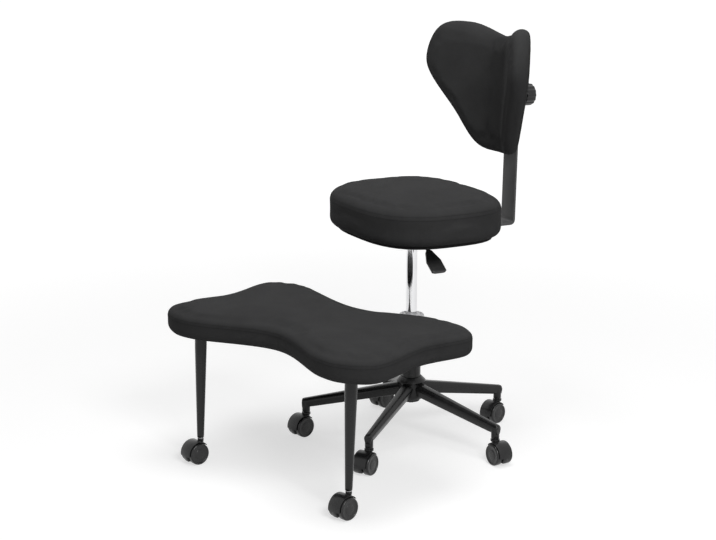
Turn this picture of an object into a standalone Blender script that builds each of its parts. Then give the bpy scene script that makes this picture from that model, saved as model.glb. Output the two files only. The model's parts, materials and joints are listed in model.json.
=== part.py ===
"""Office chair for sitting cross-legged.

A seat and a back stand on a gas lift over a star base, and a wide footrest turns on the same column.
Metres, +Z up, the floor is z = 0 and the footrest is towards -Y. The sizes below are measured from the
column's axis. At the end everything is moved so that the origin is under the middle of the whole part.
"""

from math import asin, cos, pi, radians, sin, sqrt, tan

import bmesh
import bpy
from mathutils import Matrix, Vector

for old in list(bpy.data.objects):
    bpy.data.objects.remove(old, do_unlink=True)

# Clearances
GAP = 0.0003          # between pieces that touch
RUN = 0.0004          # between pieces that turn or slide on each other

# Casters
WHEEL_R = 0.0275
WHEEL_W = 0.0165
WHEEL_EDGE = 0.003
WHEEL_DISH_R = 0.0205
WHEEL_DISH = 0.0016
WHEEL_SIDES = 12
WHEEL_SIDE_GAP = 0.0006
AXLE_R = 0.004
AXLE_IN_WHEEL = 0.010
HOOD_WEB = 0.0135
HOOD_SPAN = 0.038
HOOD_WHEEL_GAP = 0.0020
HOOD_WALL = 0.0018
HOOD_FROM = -8.0      # degrees round the axle, from the trailing side over the top
HOOD_TO = 140.0
HOOD_FLOOR_GAP = 0.009
TRAIL = 0.018
STAR_NECK_R = 0.0118  # neck of a caster under the star
LEG_NECK_R = 0.0078   # neck of a caster under a leg
NECK_TOP = 0.0615
STEM_R = 0.005
STEM_IN_HOOD = 0.016
STEM_IN_SOCKET = 0.022
STEM_COLLAR_R = 0.0072
STEM_COLLAR = 0.0016
STEM_SIDES = 8
HEADINGS = (265.0, 282.0, 345.0, 268.0, 266.0, 265.0, 269.0)   # degrees, which way each caster trails

# Star base
STAR_R = 0.2787
STAR_TURN = 2.4       # degrees, the first arm from +X
ARMS = 5
ARM_TIP = 0.0105      # past the stem's axis
ARM_ROOT_TOP = 0.154
ARM_ROOT_DEEP = 0.033
ARM_ROOT_W = 0.036
ARM_TIP_TOP = 0.0988
ARM_TIP_DEEP = 0.025
ARM_TIP_W = 0.0215
ARM_RIDGE = 0.52      # width of the flat ridge on top, as a share of the arm's width
ARM_SHOULDER = 0.34   # drop from the ridge to the shoulder, as a share of the arm's depth
ARM_BELLY = 0.62      # width underneath, as a share of the arm's width
ARM_WALL = 0.0032     # at the sides and the top of the channel under each arm
ARM_CHANNEL_END = 0.018   # from the channel's outer end to the stem's axis
SOCKET_R = 0.0105
HUB_R = 0.034
HUB_BOTTOM = 0.111
HUB_TOP = 0.172
HUB_CONE_R = 0.0395
HUB_CONE_Z = 0.160
HUB_LIP = 0.0025
HUB_FOOT = 0.008

# Gas lift
TUBE_R = 0.025
TUBE_FOOT_R = 0.0235
TUBE_BOTTOM = 0.1045
TUBE_TOP = 0.336
TUBE_BORE_R = 0.0215
TUBE_FLOOR = 0.003
STOP_R = 0.031
STOP_Z = 0.262
STOP_T = 0.010
BUSH_LENGTH = 0.068
BUSH_FLANGE = 0.006
CYLINDER_R = 0.014
LIFT_TRAVEL = 0.120   # how far the seat goes down
LIFT_REST = 0.0024    # left under the cylinder then
CYLINDER_WALL = 0.0022
CYLINDER_GUIDE = 0.012
CYLINDER_HEAD = 0.040
TAPER = 0.024
TAPER_IN = 0.0008
ROD_R = 0.005
ROD_TOP = 0.362
PISTON = 0.012
ROD_FOOT = 0.005
ROD_SHOULDER_R = 0.010
ROD_SHOULDER = 0.0025
BEARING_R = 0.0125
BEARING = 0.006
CLIP_R = 0.0095
CLIP = 0.0025
BUTTON_R = 0.0041
BUTTON_OUT = 0.0036
BUTTON_DEEP = 0.0115
LIFT_SIDES = 20

# Footrest
FOOT_RISE = 0.0013    # from the board's underside to the cushion's
FOOT_DEEP = 0.0624    # from there to the seam round the cushion's top
FOOT_CROWN = 0.008
FOOT_EDGE = 0.019
FOOT_UNDER = 0.021
FOOT_DRAW = 0.0005
FOOT_FRONT_WAIST = -0.4897
FOOT_BACK_WAIST = -0.1962
FOOT_FRONT_LOBE = ((0.2220, -0.5651), (0.2920, -0.5635), (0.3585, -0.5113))
FOOT_END = (0.3418, -0.3295)
FOOT_BACK_LOBE = ((0.3620, -0.1874), (0.3095, -0.1435), (0.2500, -0.1356))
FOOT_POINTS = 60
FOOT_MIDDLE_Y = -0.345
FOOT_BOARD = 0.012
FOOT_BOARD_INSET = 0.030
FOOT_BOARD_DROP = 0.0065   # from the sleeve's top to the board's underside
SLEEVE_R = 0.033
SLEEVE_LENGTH = 0.0812
FOOT_ARM_W = 0.045
FOOT_ARM_DEEP = 0.025
FOOT_ARM_END = -0.420
FOOT_ARM_WALL = 0.002
LEG_X = 0.263
LEG_Y = -0.503
LEG_RAKE = 2.1        # degrees, the top leans towards the column
LEG_FOOT_R = 0.0088
LEG_TOP_R = 0.0150
LEG_FLANGE_R = 0.030
LEG_FLANGE = 0.004
LEG_TAPER_DROP = 0.030
LEG_WALL = 0.002
LEG_SIDES = 14

# Seat: everything on the lift is turned by SEAT_TURN about the column
SEAT_TURN = -18.0
SEAT_A = 0.2304
SEAT_B = 0.1892
SEAT_POWER = 2.815
SEAT_SHIFT = 0.0055
SEAT_RISE = 0.008     # from the board's underside to the cushion's
SEAT_DEEP = 0.0961    # from there to the seam round the cushion's top
SEAT_CROWN = 0.0129
SEAT_EDGE = 0.0280
SEAT_UNDER = 0.0197
SEAT_DRAW = 0.0005
SEAT_POINTS = 48
SEAT_BOARD = 0.012
SEAT_BOARD_INSET = 0.022
PLATE_X = 0.170
PLATE_Y = 0.150
PLATE = 0.003
CHANNEL_W = 0.050
CHANNEL_FROM = -0.045
CHANNEL_TO = 0.048
CHANNEL_DEEP = 0.0275
SOCKET_WALL = 0.0045
CYLINDER_TOP = 0.5415
BOLT_X = 0.070
BOLT_Y = 0.060
BOLT_R = 0.004
BOLT_HEAD_R = 0.0075
BOLT_HEAD = 0.0053
BOLT_IN_BOARD = 0.010

# Release lever, in the seat's frame, out along +X. Places are (from the column, above the pivot)
LEVER_R = 0.004
LEVER_ROOM = 0.0023   # from the lever to the plate above it
LEVER_INNER = -0.008
LEVER_PIVOT = 0.030
LEVER_BEND = 0.050
LEVER_DROP = (0.078, -0.0234)
LEVER_END = (0.102, -0.0402)
LEVER_PIN_R = 0.002
PADDLE_FROM = (0.080, -0.0248)
PADDLE_TO = (0.140, -0.0689)
PADDLE_W0 = 0.014
PADDLE_W1 = 0.036
PADDLE_FLARE = 0.72   # where it is at its full width, as a share of its length
PADDLE_T0 = 0.013
PADDLE_T1 = 0.010

# Back bar and back, in the seat's frame, towards +Y. Heights are above the seat board's underside
BAR_W = 0.0595
BAR_T = 0.006
BAR_R = 0.2929        # centre of the upright, from the column, at the foot
BAR_FROM = 0.105
BAR_BEND = 0.012
BAR_TOP = 0.426
BAR_LEAN = 1.25
BAR_BOLTS = (0.125, 0.155)
BRACKET_WALL = 0.004  # in front of the bar, at the height of the back's middle
BRACKET_BACK = 0.007
BRACKET_SIDE = 0.005
BRACKET_LOW = 0.296
BRACKET_HIGH = 0.090
KNOB_ABOVE = 0.0375   # above the bracket's lower end
KNOB_R = 0.029
KNOB_RIDGE = 0.002
KNOB_RIDGES = 14
KNOB_T = 0.030
KNOB_NECK_R = 0.013
KNOB_NECK = 0.016
STUD_R = 0.004
BACK_BOARD = 0.008
BACK_LIP = 0.003      # of the cushion, round the board behind
BACK_NOTCH = 0.4851
BACK_LOBE = (0.1199, 0.5135)
BACK_SHOULDER = (0.1818, 0.5019)
BACK_SIDE = (0.2171, 0.4022)
BACK_FLANK = (0.1316, 0.2782)
BACK_HIP = (0.0681, 0.1929)
BACK_TIP = 0.1846
BACK_POINTS = 48
BACK_CENTRE = 0.341
BACK_TILT = 1.64      # degrees, how far the back leans on its bracket, past the bar's lean
BACK_FLAT = 0.032     # half-width of the flat middle that the bracket is screwed to
BACK_REACH = 0.200    # where the wrap below is measured
BACK_WRAP = 0.0811
BACK_WRAP_POWER = 1.1762
BACK_THICK = 0.0433   # with its board, at the valley
BACK_SWELL = 0.0158   # more than that on the lobes
BACK_SWELL_AT = 0.1541
BACK_WIDEST = 0.3543  # where the roll of the edge is widest, as a share of the thickness from behind
BACK_NOTCH_WIDEST = 0.555   # the same at the notch
BACK_NOTCH_REACH = 0.090    # how far from the notch the one goes over into the other
BACK_EDGE = 0.0156
BACK_REAR_EDGE = 0.0134

# Places that follow from the sizes above
SEAT_FRAME = Matrix.Rotation(radians(SEAT_TURN), 4, "Z")
SHELL_IN = WHEEL_R + HOOD_WHEEL_GAP
SHELL_OUT = SHELL_IN + HOOD_WALL
WHEEL_IN_Y = HOOD_WEB / 2 + WHEEL_SIDE_GAP
WHEEL_OUT_Y = WHEEL_IN_Y + WHEEL_W
SOCKET_BOTTOM = NECK_TOP + GAP + STEM_COLLAR + GAP
STEM_TOP = SOCKET_BOTTOM + STEM_IN_SOCKET
SLEEVE_TOP = STOP_Z + GAP + SLEEVE_LENGTH
FOOT_BOARD_Z = SLEEVE_TOP - FOOT_BOARD_DROP
FOOT_BOTTOM = FOOT_BOARD_Z + FOOT_RISE
FOOT_TOP = FOOT_BOTTOM + FOOT_DEEP
LEG_TOP = FOOT_BOARD_Z - GAP
LEVER_Z = CYLINDER_TOP + BUTTON_OUT + GAP + LEVER_R
PLATE_Z = LEVER_Z + LEVER_R + LEVER_ROOM
CHANNEL_Z = PLATE_Z - CHANNEL_DEEP
SEAT_BOARD_Z = PLATE_Z + PLATE + GAP
SEAT_BOTTOM = SEAT_BOARD_Z + SEAT_RISE
SEAT_TOP = SEAT_BOTTOM + SEAT_DEEP
BAR_TOP_FACE = SEAT_BOARD_Z - GAP
BAR_MIDDLE_Z = BAR_TOP_FACE - BAR_T / 2
TUBE_INSIDE = TUBE_BOTTOM + TUBE_FLOOR
BEARING_TOP = TUBE_INSIDE + GAP + BEARING
SHOULDER_TOP = BEARING_TOP + GAP + ROD_SHOULDER
CYLINDER_BOTTOM = SHOULDER_TOP + LIFT_REST + LIFT_TRAVEL

SHARP = radians(32)

MADE = {}


def material(name, colour, rough, metal=0.0):
    """A plain Principled material of its own for one node."""
    made = bpy.data.materials.new(name)
    made.use_nodes = True
    shader = made.node_tree.nodes["Principled BSDF"]
    shader.inputs["Base Color"].default_value = (*colour, 1.0)
    shader.inputs["Roughness"].default_value = rough
    shader.inputs["Metallic"].default_value = metal
    made.diffuse_color = (*colour, 1.0)
    return made


FABRIC = ((0.035, 0.035, 0.037), 0.85, 0.0)
PAINT = ((0.020, 0.020, 0.021), 0.42, 0.3)
PLASTIC = ((0.022, 0.022, 0.023), 0.40, 0.0)
GREY = ((0.55, 0.55, 0.56), 0.35, 0.8)
CHROME = ((0.82, 0.82, 0.83), 0.12, 1.0)
STEEL = ((0.50, 0.50, 0.51), 0.35, 1.0)
BAR_PAINT = ((0.070, 0.070, 0.072), 0.45, 0.4)
LINING = ((0.026, 0.026, 0.027), 0.90, 0.0)


def mesh_from(name, points, faces):
    """A mesh from points and faces, with its normals outward."""
    mesh = bpy.data.meshes.new(name)
    mesh.from_pydata([tuple(p) for p in points], [], faces)
    work = bmesh.new()
    work.from_mesh(mesh)
    bmesh.ops.recalc_face_normals(work, faces=work.faces)
    if work.calc_volume(signed=True) < 0:
        bmesh.ops.reverse_faces(work, faces=work.faces)
    work.to_mesh(mesh)
    work.free()
    return mesh


def loft(name, rings, split=False):
    """A closed mesh through rings of as many points each, capped at both ends. split cuts each face in two."""
    count = len(rings[0])
    points = [p for ring in rings for p in ring]
    faces = []
    for row in range(len(rings) - 1):
        low = row * count
        high = low + count
        for i in range(count):
            j = (i + 1) % count
            if split:
                faces.append((low + i, low + j, high + j))
                faces.append((low + i, high + j, high + i))
            else:
                faces.append((low + i, low + j, high + j, high + i))
    faces.append(tuple(range(count))[::-1])
    faces.append(tuple(range(len(points) - count, len(points))))
    return mesh_from(name, points, faces)


def turned(name, profile, sides, phase=0.0):
    """A mesh turned about Z from (radius, z) points: pole to pole if the ends have radius 0, or else a ring."""
    ring = profile[0][0] > 0
    points = []
    first = []
    for radius, z in profile:
        first.append(len(points))
        if radius == 0:
            points.append((0.0, 0.0, z))
            continue
        for k in range(sides):
            angle = 2 * pi * (k + phase) / sides
            points.append((radius * cos(angle), radius * sin(angle), z))
    faces = []
    steps = len(profile) if ring else len(profile) - 1
    for row in range(steps):
        nxt = (row + 1) % len(profile)
        a, b = first[row], first[nxt]
        for k in range(sides):
            j = (k + 1) % sides
            if profile[row][0] == 0:
                faces.append((a, b + k, b + j))
            elif profile[nxt][0] == 0:
                faces.append((a + k, b, a + j))
            else:
                faces.append((a + k, b + k, b + j, a + j))
    return mesh_from(name, points, faces)


def box(name, low, high):
    """A box between two corners."""
    (x0, y0, z0), (x1, y1, z1) = low, high
    under = [(x0, y0, z0), (x1, y0, z0), (x1, y1, z0), (x0, y1, z0)]
    over = [(x0, y0, z1), (x1, y0, z1), (x1, y1, z1), (x0, y1, z1)]
    return loft(name, [under, over])


def rod(name, start, end, radius, sides=12):
    """A plain cylinder between two points."""
    start, end = Vector(start), Vector(end)
    along = end - start
    mesh = turned(name, [(0, 0), (radius, 0), (radius, along.length), (0, along.length)], sides)
    mesh.transform(Matrix.Translation(start) @ along.to_track_quat("Z", "Y").to_matrix().to_4x4())
    return mesh


def combined(name, start, others, operation):
    """The start mesh joined with, or cut by, the other meshes."""
    first = bpy.data.objects.new("work", start)
    bpy.context.scene.collection.objects.link(first)
    helpers = [first]
    for other in others:
        helper = bpy.data.objects.new("helper", other)
        bpy.context.scene.collection.objects.link(helper)
        helpers.append(helper)
        step = first.modifiers.new("step", "BOOLEAN")
        step.operation = operation
        step.solver = "EXACT"
        step.object = helper
    bpy.context.view_layer.update()
    graph = bpy.context.evaluated_depsgraph_get()
    made = bpy.data.meshes.new_from_object(first.evaluated_get(graph))
    made.name = name
    for helper in helpers:
        bpy.data.objects.remove(helper, do_unlink=True)
    work = bmesh.new()
    work.from_mesh(made)
    bmesh.ops.remove_doubles(work, verts=work.verts, dist=1e-6)
    bmesh.ops.dissolve_degenerate(work, edges=work.edges, dist=1e-7)
    work.to_mesh(made)
    work.free()
    return made


def node(name, mesh, look, place=None):
    """One named object of the part with its own material, its origin placed on its joint's axis."""
    mesh.name = name
    item = bpy.data.objects.new(name, mesh)
    bpy.context.scene.collection.objects.link(item)
    mesh.materials.clear()
    mesh.materials.append(material(name, *look))
    mesh.shade_smooth()
    mesh.set_sharp_from_angle(angle=SHARP)
    if place is not None:
        item.matrix_world = place
    MADE[name] = item
    return item


def smooth_loop(points, count):
    """As many points as asked for, evenly spaced along a smooth closed curve through the points given."""
    total = len(points)
    dense = []
    steps = 24
    for i in range(total):
        p0, p1, p2, p3 = (Vector(points[(i + k - 1) % total]) for k in range(4))
        t1 = sqrt((p1 - p0).length)
        t2 = t1 + sqrt((p2 - p1).length)
        t3 = t2 + sqrt((p3 - p2).length)
        for k in range(steps):
            t = t1 + (t2 - t1) * k / steps
            a1 = p0 * ((t1 - t) / t1) + p1 * (t / t1)
            a2 = p1 * ((t2 - t) / (t2 - t1)) + p2 * ((t - t1) / (t2 - t1))
            a3 = p2 * ((t3 - t) / (t3 - t2)) + p3 * ((t - t2) / (t3 - t2))
            b1 = a1 * ((t2 - t) / t2) + a2 * (t / t2)
            b2 = a2 * ((t3 - t) / (t3 - t1)) + a3 * ((t - t1) / (t3 - t1))
            dense.append(b1 * ((t2 - t) / (t2 - t1)) + b2 * ((t - t1) / (t2 - t1)))
    lengths = [0.0]
    for i in range(len(dense)):
        lengths.append(lengths[-1] + (dense[(i + 1) % len(dense)] - dense[i]).length)
    found = []
    at = 0
    for k in range(count):
        want = lengths[-1] * k / count
        while lengths[at + 1] < want:
            at += 1
        share = (want - lengths[at]) / (lengths[at + 1] - lengths[at])
        found.append(dense[at].lerp(dense[(at + 1) % len(dense)], share))
    return found


def inset(outline, distance):
    """The outline moved inwards by a distance, point by point. The outline runs anticlockwise."""
    count = len(outline)
    moved = []
    for i in range(count):
        along = outline[(i + 1) % count] - outline[i - 1]
        moved.append(outline[i] + Vector((-along.y, along.x)).normalized() * distance)
    return moved


def shrunk(outline, middle, share):
    """The outline drawn in towards a middle point."""
    return [middle + (p - middle) * share for p in outline]


def flat_ring(outline, z):
    return [(p.x, p.y, z) for p in outline]


def padded(name, outline, board_inset, middle, bottom, ceiling, top, crown, edge, under, draw):
    """A cushion on a board: a pocket below for the board, rolled edges, drawn-in sides and a crowned top."""
    pocket = inset(outline, board_inset - GAP)
    seam = inset(outline, edge)
    return loft(name, [
        flat_ring(shrunk(pocket, middle, 0.30), ceiling),
        flat_ring(pocket, ceiling),
        flat_ring(pocket, bottom),
        flat_ring(inset(outline, under * 0.9), bottom),
        flat_ring(inset(outline, under * 0.30), bottom + under * 0.30),
        flat_ring(outline, bottom + under),
        flat_ring(inset(outline, draw), (bottom + under + top - edge) / 2),
        flat_ring(outline, top - edge),
        flat_ring(inset(outline, edge * 0.29), top - edge * 0.29),
        flat_ring(seam, top),
        flat_ring(shrunk(seam, middle, 0.88), top + crown * 0.42),
        flat_ring(shrunk(seam, middle, 0.64), top + crown * 0.78),
        flat_ring(shrunk(seam, middle, 0.34), top + crown * 0.96),
        flat_ring(shrunk(seam, middle, 0.10), top + crown),
    ])


def panel(name, outline, low, high):
    """A flat board of the outline."""
    return loft(name, [flat_ring(outline, low), flat_ring(outline, high)])


def arc(middle, radius, start, end, steps):
    """Points of an arc in a side view, from one angle to another."""
    found = []
    for k in range(steps + 1):
        angle = start + (end - start) * k / steps
        found.append((middle[0] + radius * cos(angle), middle[1] + radius * sin(angle)))
    return found


def slab(name, outline, half):
    """A slab with the side-view outline given as (x, z), reaching half its width each way along Y."""
    return loft(name, [[(x, -half, z) for x, z in outline], [(x, half, z) for x, z in outline]])


def swept(name, path, side_vector, half_width, half_thick):
    """A flat bar along a path, with its width along side_vector. The ends are square to the path."""
    rings = []
    last = len(path) - 1
    for i, point in enumerate(path):
        before = (point - path[i - 1]).normalized() if i > 0 else (path[1] - point).normalized()
        after = (path[i + 1] - point).normalized() if i < last else before
        along = (before + after).normalized()
        stretch = 1.0 / along.dot(after)
        normal = along.cross(side_vector).normalized() * (half_thick * stretch)
        side = side_vector * half_width
        under, over = point - normal, point + normal
        rings.append([under - side, under + side, over + side, over - side])
    return loft(name, rings)


def piped(name, path, side_vector, radius, sides):
    """A round bar along a path that lies square to side_vector."""
    rings = []
    last = len(path) - 1
    for i, point in enumerate(path):
        before = (point - path[i - 1]).normalized() if i > 0 else (path[1] - point).normalized()
        after = (path[i + 1] - point).normalized() if i < last else before
        along = (before + after).normalized()
        stretch = 1.0 / along.dot(after)
        normal = along.cross(side_vector).normalized() * (radius * stretch)
        ring = []
        for k in range(sides):
            angle = 2 * pi * k / sides
            ring.append(point + normal * cos(angle) + side_vector * (radius * sin(angle)))
        rings.append(ring)
    return loft(name, rings)


def eased(corners, cut, steps):
    """The path through the corners, each inner one rounded off over the same distance on both sides."""
    path = [corners[0]]
    for i in range(1, len(corners) - 1):
        corner = corners[i]
        start = corner + (corners[i - 1] - corner).normalized() * cut
        end = corner + (corners[i + 1] - corner).normalized() * cut
        for k in range(steps + 1):
            t = k / steps
            path.append(start * (1 - t) ** 2 + corner * (2 * t * (1 - t)) + end * t ** 2)
    path.append(corners[-1])
    return path


# Casters, each in its own frame: the stem's axis is Z and the wheels trail towards +X
AXLE = (TRAIL, WHEEL_R)
DIP = asin((WHEEL_R - HOOD_FLOOR_GAP) / SHELL_OUT)
SHELL_ARC = (radians(HOOD_FROM), radians(HOOD_TO))


def hood_mesh(neck_radius):
    """The caster's body: a web between the wheels, a shell over them, the axle and the neck for the stem."""
    web = slab("web", arc(AXLE, SHELL_OUT, -DIP, pi + DIP, 9), HOOD_WEB / 2)
    outer = arc(AXLE, SHELL_OUT, *SHELL_ARC, 7)
    inner = arc(AXLE, SHELL_IN, *SHELL_ARC, 7)
    shell = slab("shell", outer + inner[::-1], HOOD_SPAN / 2)
    lap = HOOD_WALL / 2
    neck_foot = WHEEL_R + sqrt(SHELL_IN ** 2 - (TRAIL - neck_radius) ** 2)
    front, over = lap - neck_radius, neck_foot + lap
    post = slab("post", [(front, WHEEL_R), (TRAIL, WHEEL_R), (TRAIL, over), (front, over)], HOOD_WEB / 2)
    neck = rod("neck", (0, 0, neck_foot), (0, 0, NECK_TOP), neck_radius, 12)
    reach = WHEEL_IN_Y + AXLE_IN_WHEEL
    axle = rod("axle", (TRAIL, -reach, WHEEL_R), (TRAIL, reach, WHEEL_R), AXLE_R, 8)
    whole = combined("hood", web, [post, shell, neck, axle], "UNION")
    bottom = NECK_TOP - STEM_IN_HOOD - GAP
    bore = rod("bore", (0, 0, bottom), (0, 0, NECK_TOP + neck_radius), STEM_R + RUN, 10)
    return combined("hood", whole, [bore], "DIFFERENCE")


def wheel_mesh():
    """A wheel with its axis along +Y, one flat facet down, and a blind bore for the axle."""
    full = WHEEL_R / cos(pi / WHEEL_SIDES)
    bore = AXLE_R + RUN
    deep = WHEEL_IN_Y + AXLE_IN_WHEEL + GAP
    face = WHEEL_OUT_Y - WHEEL_DISH
    profile = [
        (0, deep),
        (bore, deep),
        (bore, WHEEL_IN_Y),
        (full, WHEEL_IN_Y),
        (full, WHEEL_OUT_Y - WHEEL_EDGE),
        (full - WHEEL_EDGE, WHEEL_OUT_Y),
        (WHEEL_DISH_R, WHEEL_OUT_Y),
        (WHEEL_DISH_R - WHEEL_DISH, face),
        (0, face),
    ]
    mesh = turned("wheel", profile, WHEEL_SIDES, 0.5)
    mesh.transform(Matrix.Rotation(-pi / 2, 4, "X"))
    return mesh


def stem_mesh():
    """The caster's stem, held in the arm or the leg, with the collar that carries the load."""
    low = NECK_TOP - STEM_IN_HOOD
    collar = NECK_TOP + GAP
    top = STEM_TOP - GAP
    profile = [
        (0, low),
        (STEM_R, low),
        (STEM_R, collar),
        (STEM_COLLAR_R, collar),
        (STEM_COLLAR_R, collar + STEM_COLLAR),
        (STEM_R, collar + STEM_COLLAR),
        (STEM_R, top),
        (0, top),
    ]
    return turned("stem", profile, STEM_SIDES)


STEMS = []
for k in range(ARMS):
    turn = radians(STAR_TURN + 72.0 * 3 + 360.0 / ARMS * k)
    STEMS.append((STAR_R * cos(turn), STAR_R * sin(turn)))
STEMS.append((-LEG_X, LEG_Y))
STEMS.append((LEG_X, LEG_Y))

STAR_HOOD = hood_mesh(STAR_NECK_R)
LEG_HOOD = hood_mesh(LEG_NECK_R)
WHEEL = wheel_mesh()
STEM = stem_mesh()
HALF_TURN = Matrix.Rotation(pi, 4, "Z")
for k, (stem, heading) in enumerate(zip(STEMS, HEADINGS), start=1):
    spot = Matrix.Translation((stem[0], stem[1], 0.0))
    caster = spot @ Matrix.Rotation(radians(heading), 4, "Z")
    centre = caster @ Matrix.Translation((TRAIL, 0.0, WHEEL_R))
    hood = STAR_HOOD if k <= ARMS else LEG_HOOD
    node(f"stem_{k}", STEM.copy(), STEEL, spot)
    node(f"hood_{k}", hood.copy(), PLASTIC, caster)
    node(f"wheel_{k}a", WHEEL.copy(), PLASTIC, centre)
    node(f"wheel_{k}b", WHEEL.copy(), PLASTIC, centre @ HALF_TURN)


# Star base
def tube_radius(z):
    """The lift tube's outside in the hub, where it tapers."""
    return TUBE_FOOT_R + (TUBE_R - TUBE_FOOT_R) * (z - TUBE_BOTTOM) / (HUB_TOP - TUBE_BOTTOM)


def arm_section(x, share):
    """One section across an arm: a flat ridge, shoulders and a narrower belly. share is 0 at the hub."""
    half = (ARM_ROOT_W + (ARM_TIP_W - ARM_ROOT_W) * share) / 2
    top = ARM_ROOT_TOP + (ARM_TIP_TOP - ARM_ROOT_TOP) * share
    deep = ARM_ROOT_DEEP + (ARM_TIP_DEEP - ARM_ROOT_DEEP) * share
    shoulder = top - deep * ARM_SHOULDER
    return [
        (x, -half * ARM_BELLY, top - deep),
        (x, half * ARM_BELLY, top - deep),
        (x, half, shoulder),
        (x, half * ARM_RIDGE, top),
        (x, -half * ARM_RIDGE, top),
        (x, -half, shoulder),
    ]


def channel_section(x, share):
    """One section across the channel that is open below, inside the arm's belly."""
    section = arm_section(x, share)
    half = section[1][1] - ARM_WALL
    low = section[0][2]
    roof = section[3][2] - ARM_WALL
    shoulder = section[2][2]
    narrow = half * ARM_RIDGE
    return [
        (x, -half, low - ARM_WALL),
        (x, half, low - ARM_WALL),
        (x, half, shoulder),
        (x, narrow, roof),
        (x, -narrow, roof),
        (x, -half, shoulder),
    ]


def star_mesh():
    hub = turned("hub", [
        (0, HUB_BOTTOM),
        (HUB_R - HUB_FOOT / 2, HUB_BOTTOM),
        (HUB_R, HUB_BOTTOM + HUB_FOOT),
        (HUB_R, HUB_CONE_Z - (HUB_CONE_R - HUB_R)),
        (HUB_CONE_R, HUB_CONE_Z),
        (TUBE_R + HUB_LIP, HUB_TOP),
        (0, HUB_TOP),
    ], LIFT_SIDES)
    added = []
    holes = []
    end = STAR_R + ARM_TIP
    channel_end = STAR_R - ARM_CHANNEL_END
    for k in range(ARMS):
        stem = STEMS[k]
        turn = Matrix.Rotation(radians(STAR_TURN + 72.0 * 3 + 360.0 / ARMS * k), 4, "Z")
        start = HUB_R * 0.6
        arm = loft("arm", [arm_section(start, (start - HUB_R) / (end - HUB_R)), arm_section(end, 1.0)])
        arm.transform(turn)
        channel = loft("channel", [
            channel_section(HUB_R, 0.0),
            channel_section(channel_end, (channel_end - HUB_R) / (end - HUB_R)),
        ])
        channel.transform(turn)
        top = ARM_TIP_TOP - ARM_TIP_DEEP * ARM_SHOULDER
        socket = rod("socket", (*stem, SOCKET_BOTTOM), (*stem, top), SOCKET_R, 12)
        added += [arm, socket]
        holes.append(channel)
        hole_low = SOCKET_BOTTOM - SOCKET_R
        holes.append(rod("hole", (*stem, hole_low), (*stem, STEM_TOP), STEM_R + GAP, STEM_SIDES))
    low, high = HUB_BOTTOM - HUB_FOOT, HUB_TOP + HUB_FOOT
    bore = turned("bore", [
        (0, low),
        (tube_radius(low) + GAP, low),
        (tube_radius(high) + GAP, high),
        (0, high),
    ], LIFT_SIDES)
    return combined("star_base", combined("star", hub, added, "UNION"), [bore] + holes, "DIFFERENCE")


node("star_base", star_mesh(), PAINT)

# Gas lift
BORE_R = CYLINDER_R - CYLINDER_WALL
CYLINDER_BORE_TOP = CYLINDER_TOP - CYLINDER_HEAD
TAPER_FROM = CYLINDER_TOP - TAPER
node("gas_tube", turned("gas_tube", [
    (ROD_R + RUN, TUBE_BOTTOM),
    (TUBE_FOOT_R, TUBE_BOTTOM),
    (TUBE_R, HUB_TOP),
    (TUBE_R, STOP_Z - STOP_T),
    (STOP_R, STOP_Z - STOP_T),
    (STOP_R, STOP_Z),
    (TUBE_R, STOP_Z),
    (TUBE_R, TUBE_TOP),
    (TUBE_BORE_R, TUBE_TOP),
    (TUBE_BORE_R, TUBE_INSIDE),
    (ROD_R + RUN, TUBE_INSIDE),
], LIFT_SIDES), PAINT)
node("guide_bush", turned("guide_bush", [
    (CYLINDER_R + RUN, TUBE_TOP - BUSH_LENGTH),
    (TUBE_BORE_R - GAP, TUBE_TOP - BUSH_LENGTH),
    (TUBE_BORE_R - GAP, TUBE_TOP + GAP),
    (TUBE_R, TUBE_TOP + GAP),
    (TUBE_R, TUBE_TOP + GAP + BUSH_FLANGE),
    (CYLINDER_R + RUN, TUBE_TOP + GAP + BUSH_FLANGE),
], LIFT_SIDES), GREY)
node("thrust_bearing", turned("thrust_bearing", [
    (ROD_R + RUN, TUBE_INSIDE + GAP),
    (BEARING_R, TUBE_INSIDE + GAP),
    (BEARING_R, BEARING_TOP),
    (ROD_R + RUN, BEARING_TOP),
], 16), STEEL)
CLIP_TOP = TUBE_BOTTOM - GAP
node("piston_rod", turned("piston_rod", [
    (0, CLIP_TOP - CLIP - ROD_FOOT),
    (ROD_R, CLIP_TOP - CLIP - ROD_FOOT),
    (ROD_R, BEARING_TOP + GAP),
    (ROD_SHOULDER_R, BEARING_TOP + GAP),
    (ROD_SHOULDER_R, SHOULDER_TOP),
    (ROD_R, SHOULDER_TOP),
    (ROD_R, ROD_TOP - PISTON),
    (BORE_R - RUN, ROD_TOP - PISTON),
    (BORE_R - RUN, ROD_TOP),
    (0, ROD_TOP),
], 12), CHROME)
node("rod_clip", turned("rod_clip", [
    (ROD_R + GAP, CLIP_TOP - CLIP),
    (CLIP_R, CLIP_TOP - CLIP),
    (CLIP_R, CLIP_TOP),
    (ROD_R + GAP, CLIP_TOP),
], 12), STEEL)
node("gas_cylinder", turned("gas_cylinder", [
    (0, CYLINDER_BORE_TOP),
    (BORE_R, CYLINDER_BORE_TOP),
    (BORE_R, CYLINDER_BOTTOM + CYLINDER_GUIDE),
    (ROD_R + RUN, CYLINDER_BOTTOM + CYLINDER_GUIDE),
    (ROD_R + RUN, CYLINDER_BOTTOM),
    (CYLINDER_R, CYLINDER_BOTTOM),
    (CYLINDER_R, TAPER_FROM),
    (CYLINDER_R - TAPER_IN, CYLINDER_TOP),
    (BUTTON_R + RUN, CYLINDER_TOP),
    (BUTTON_R + RUN, CYLINDER_TOP - BUTTON_DEEP),
    (0, CYLINDER_TOP - BUTTON_DEEP),
], LIFT_SIDES), CHROME, SEAT_FRAME)
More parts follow.
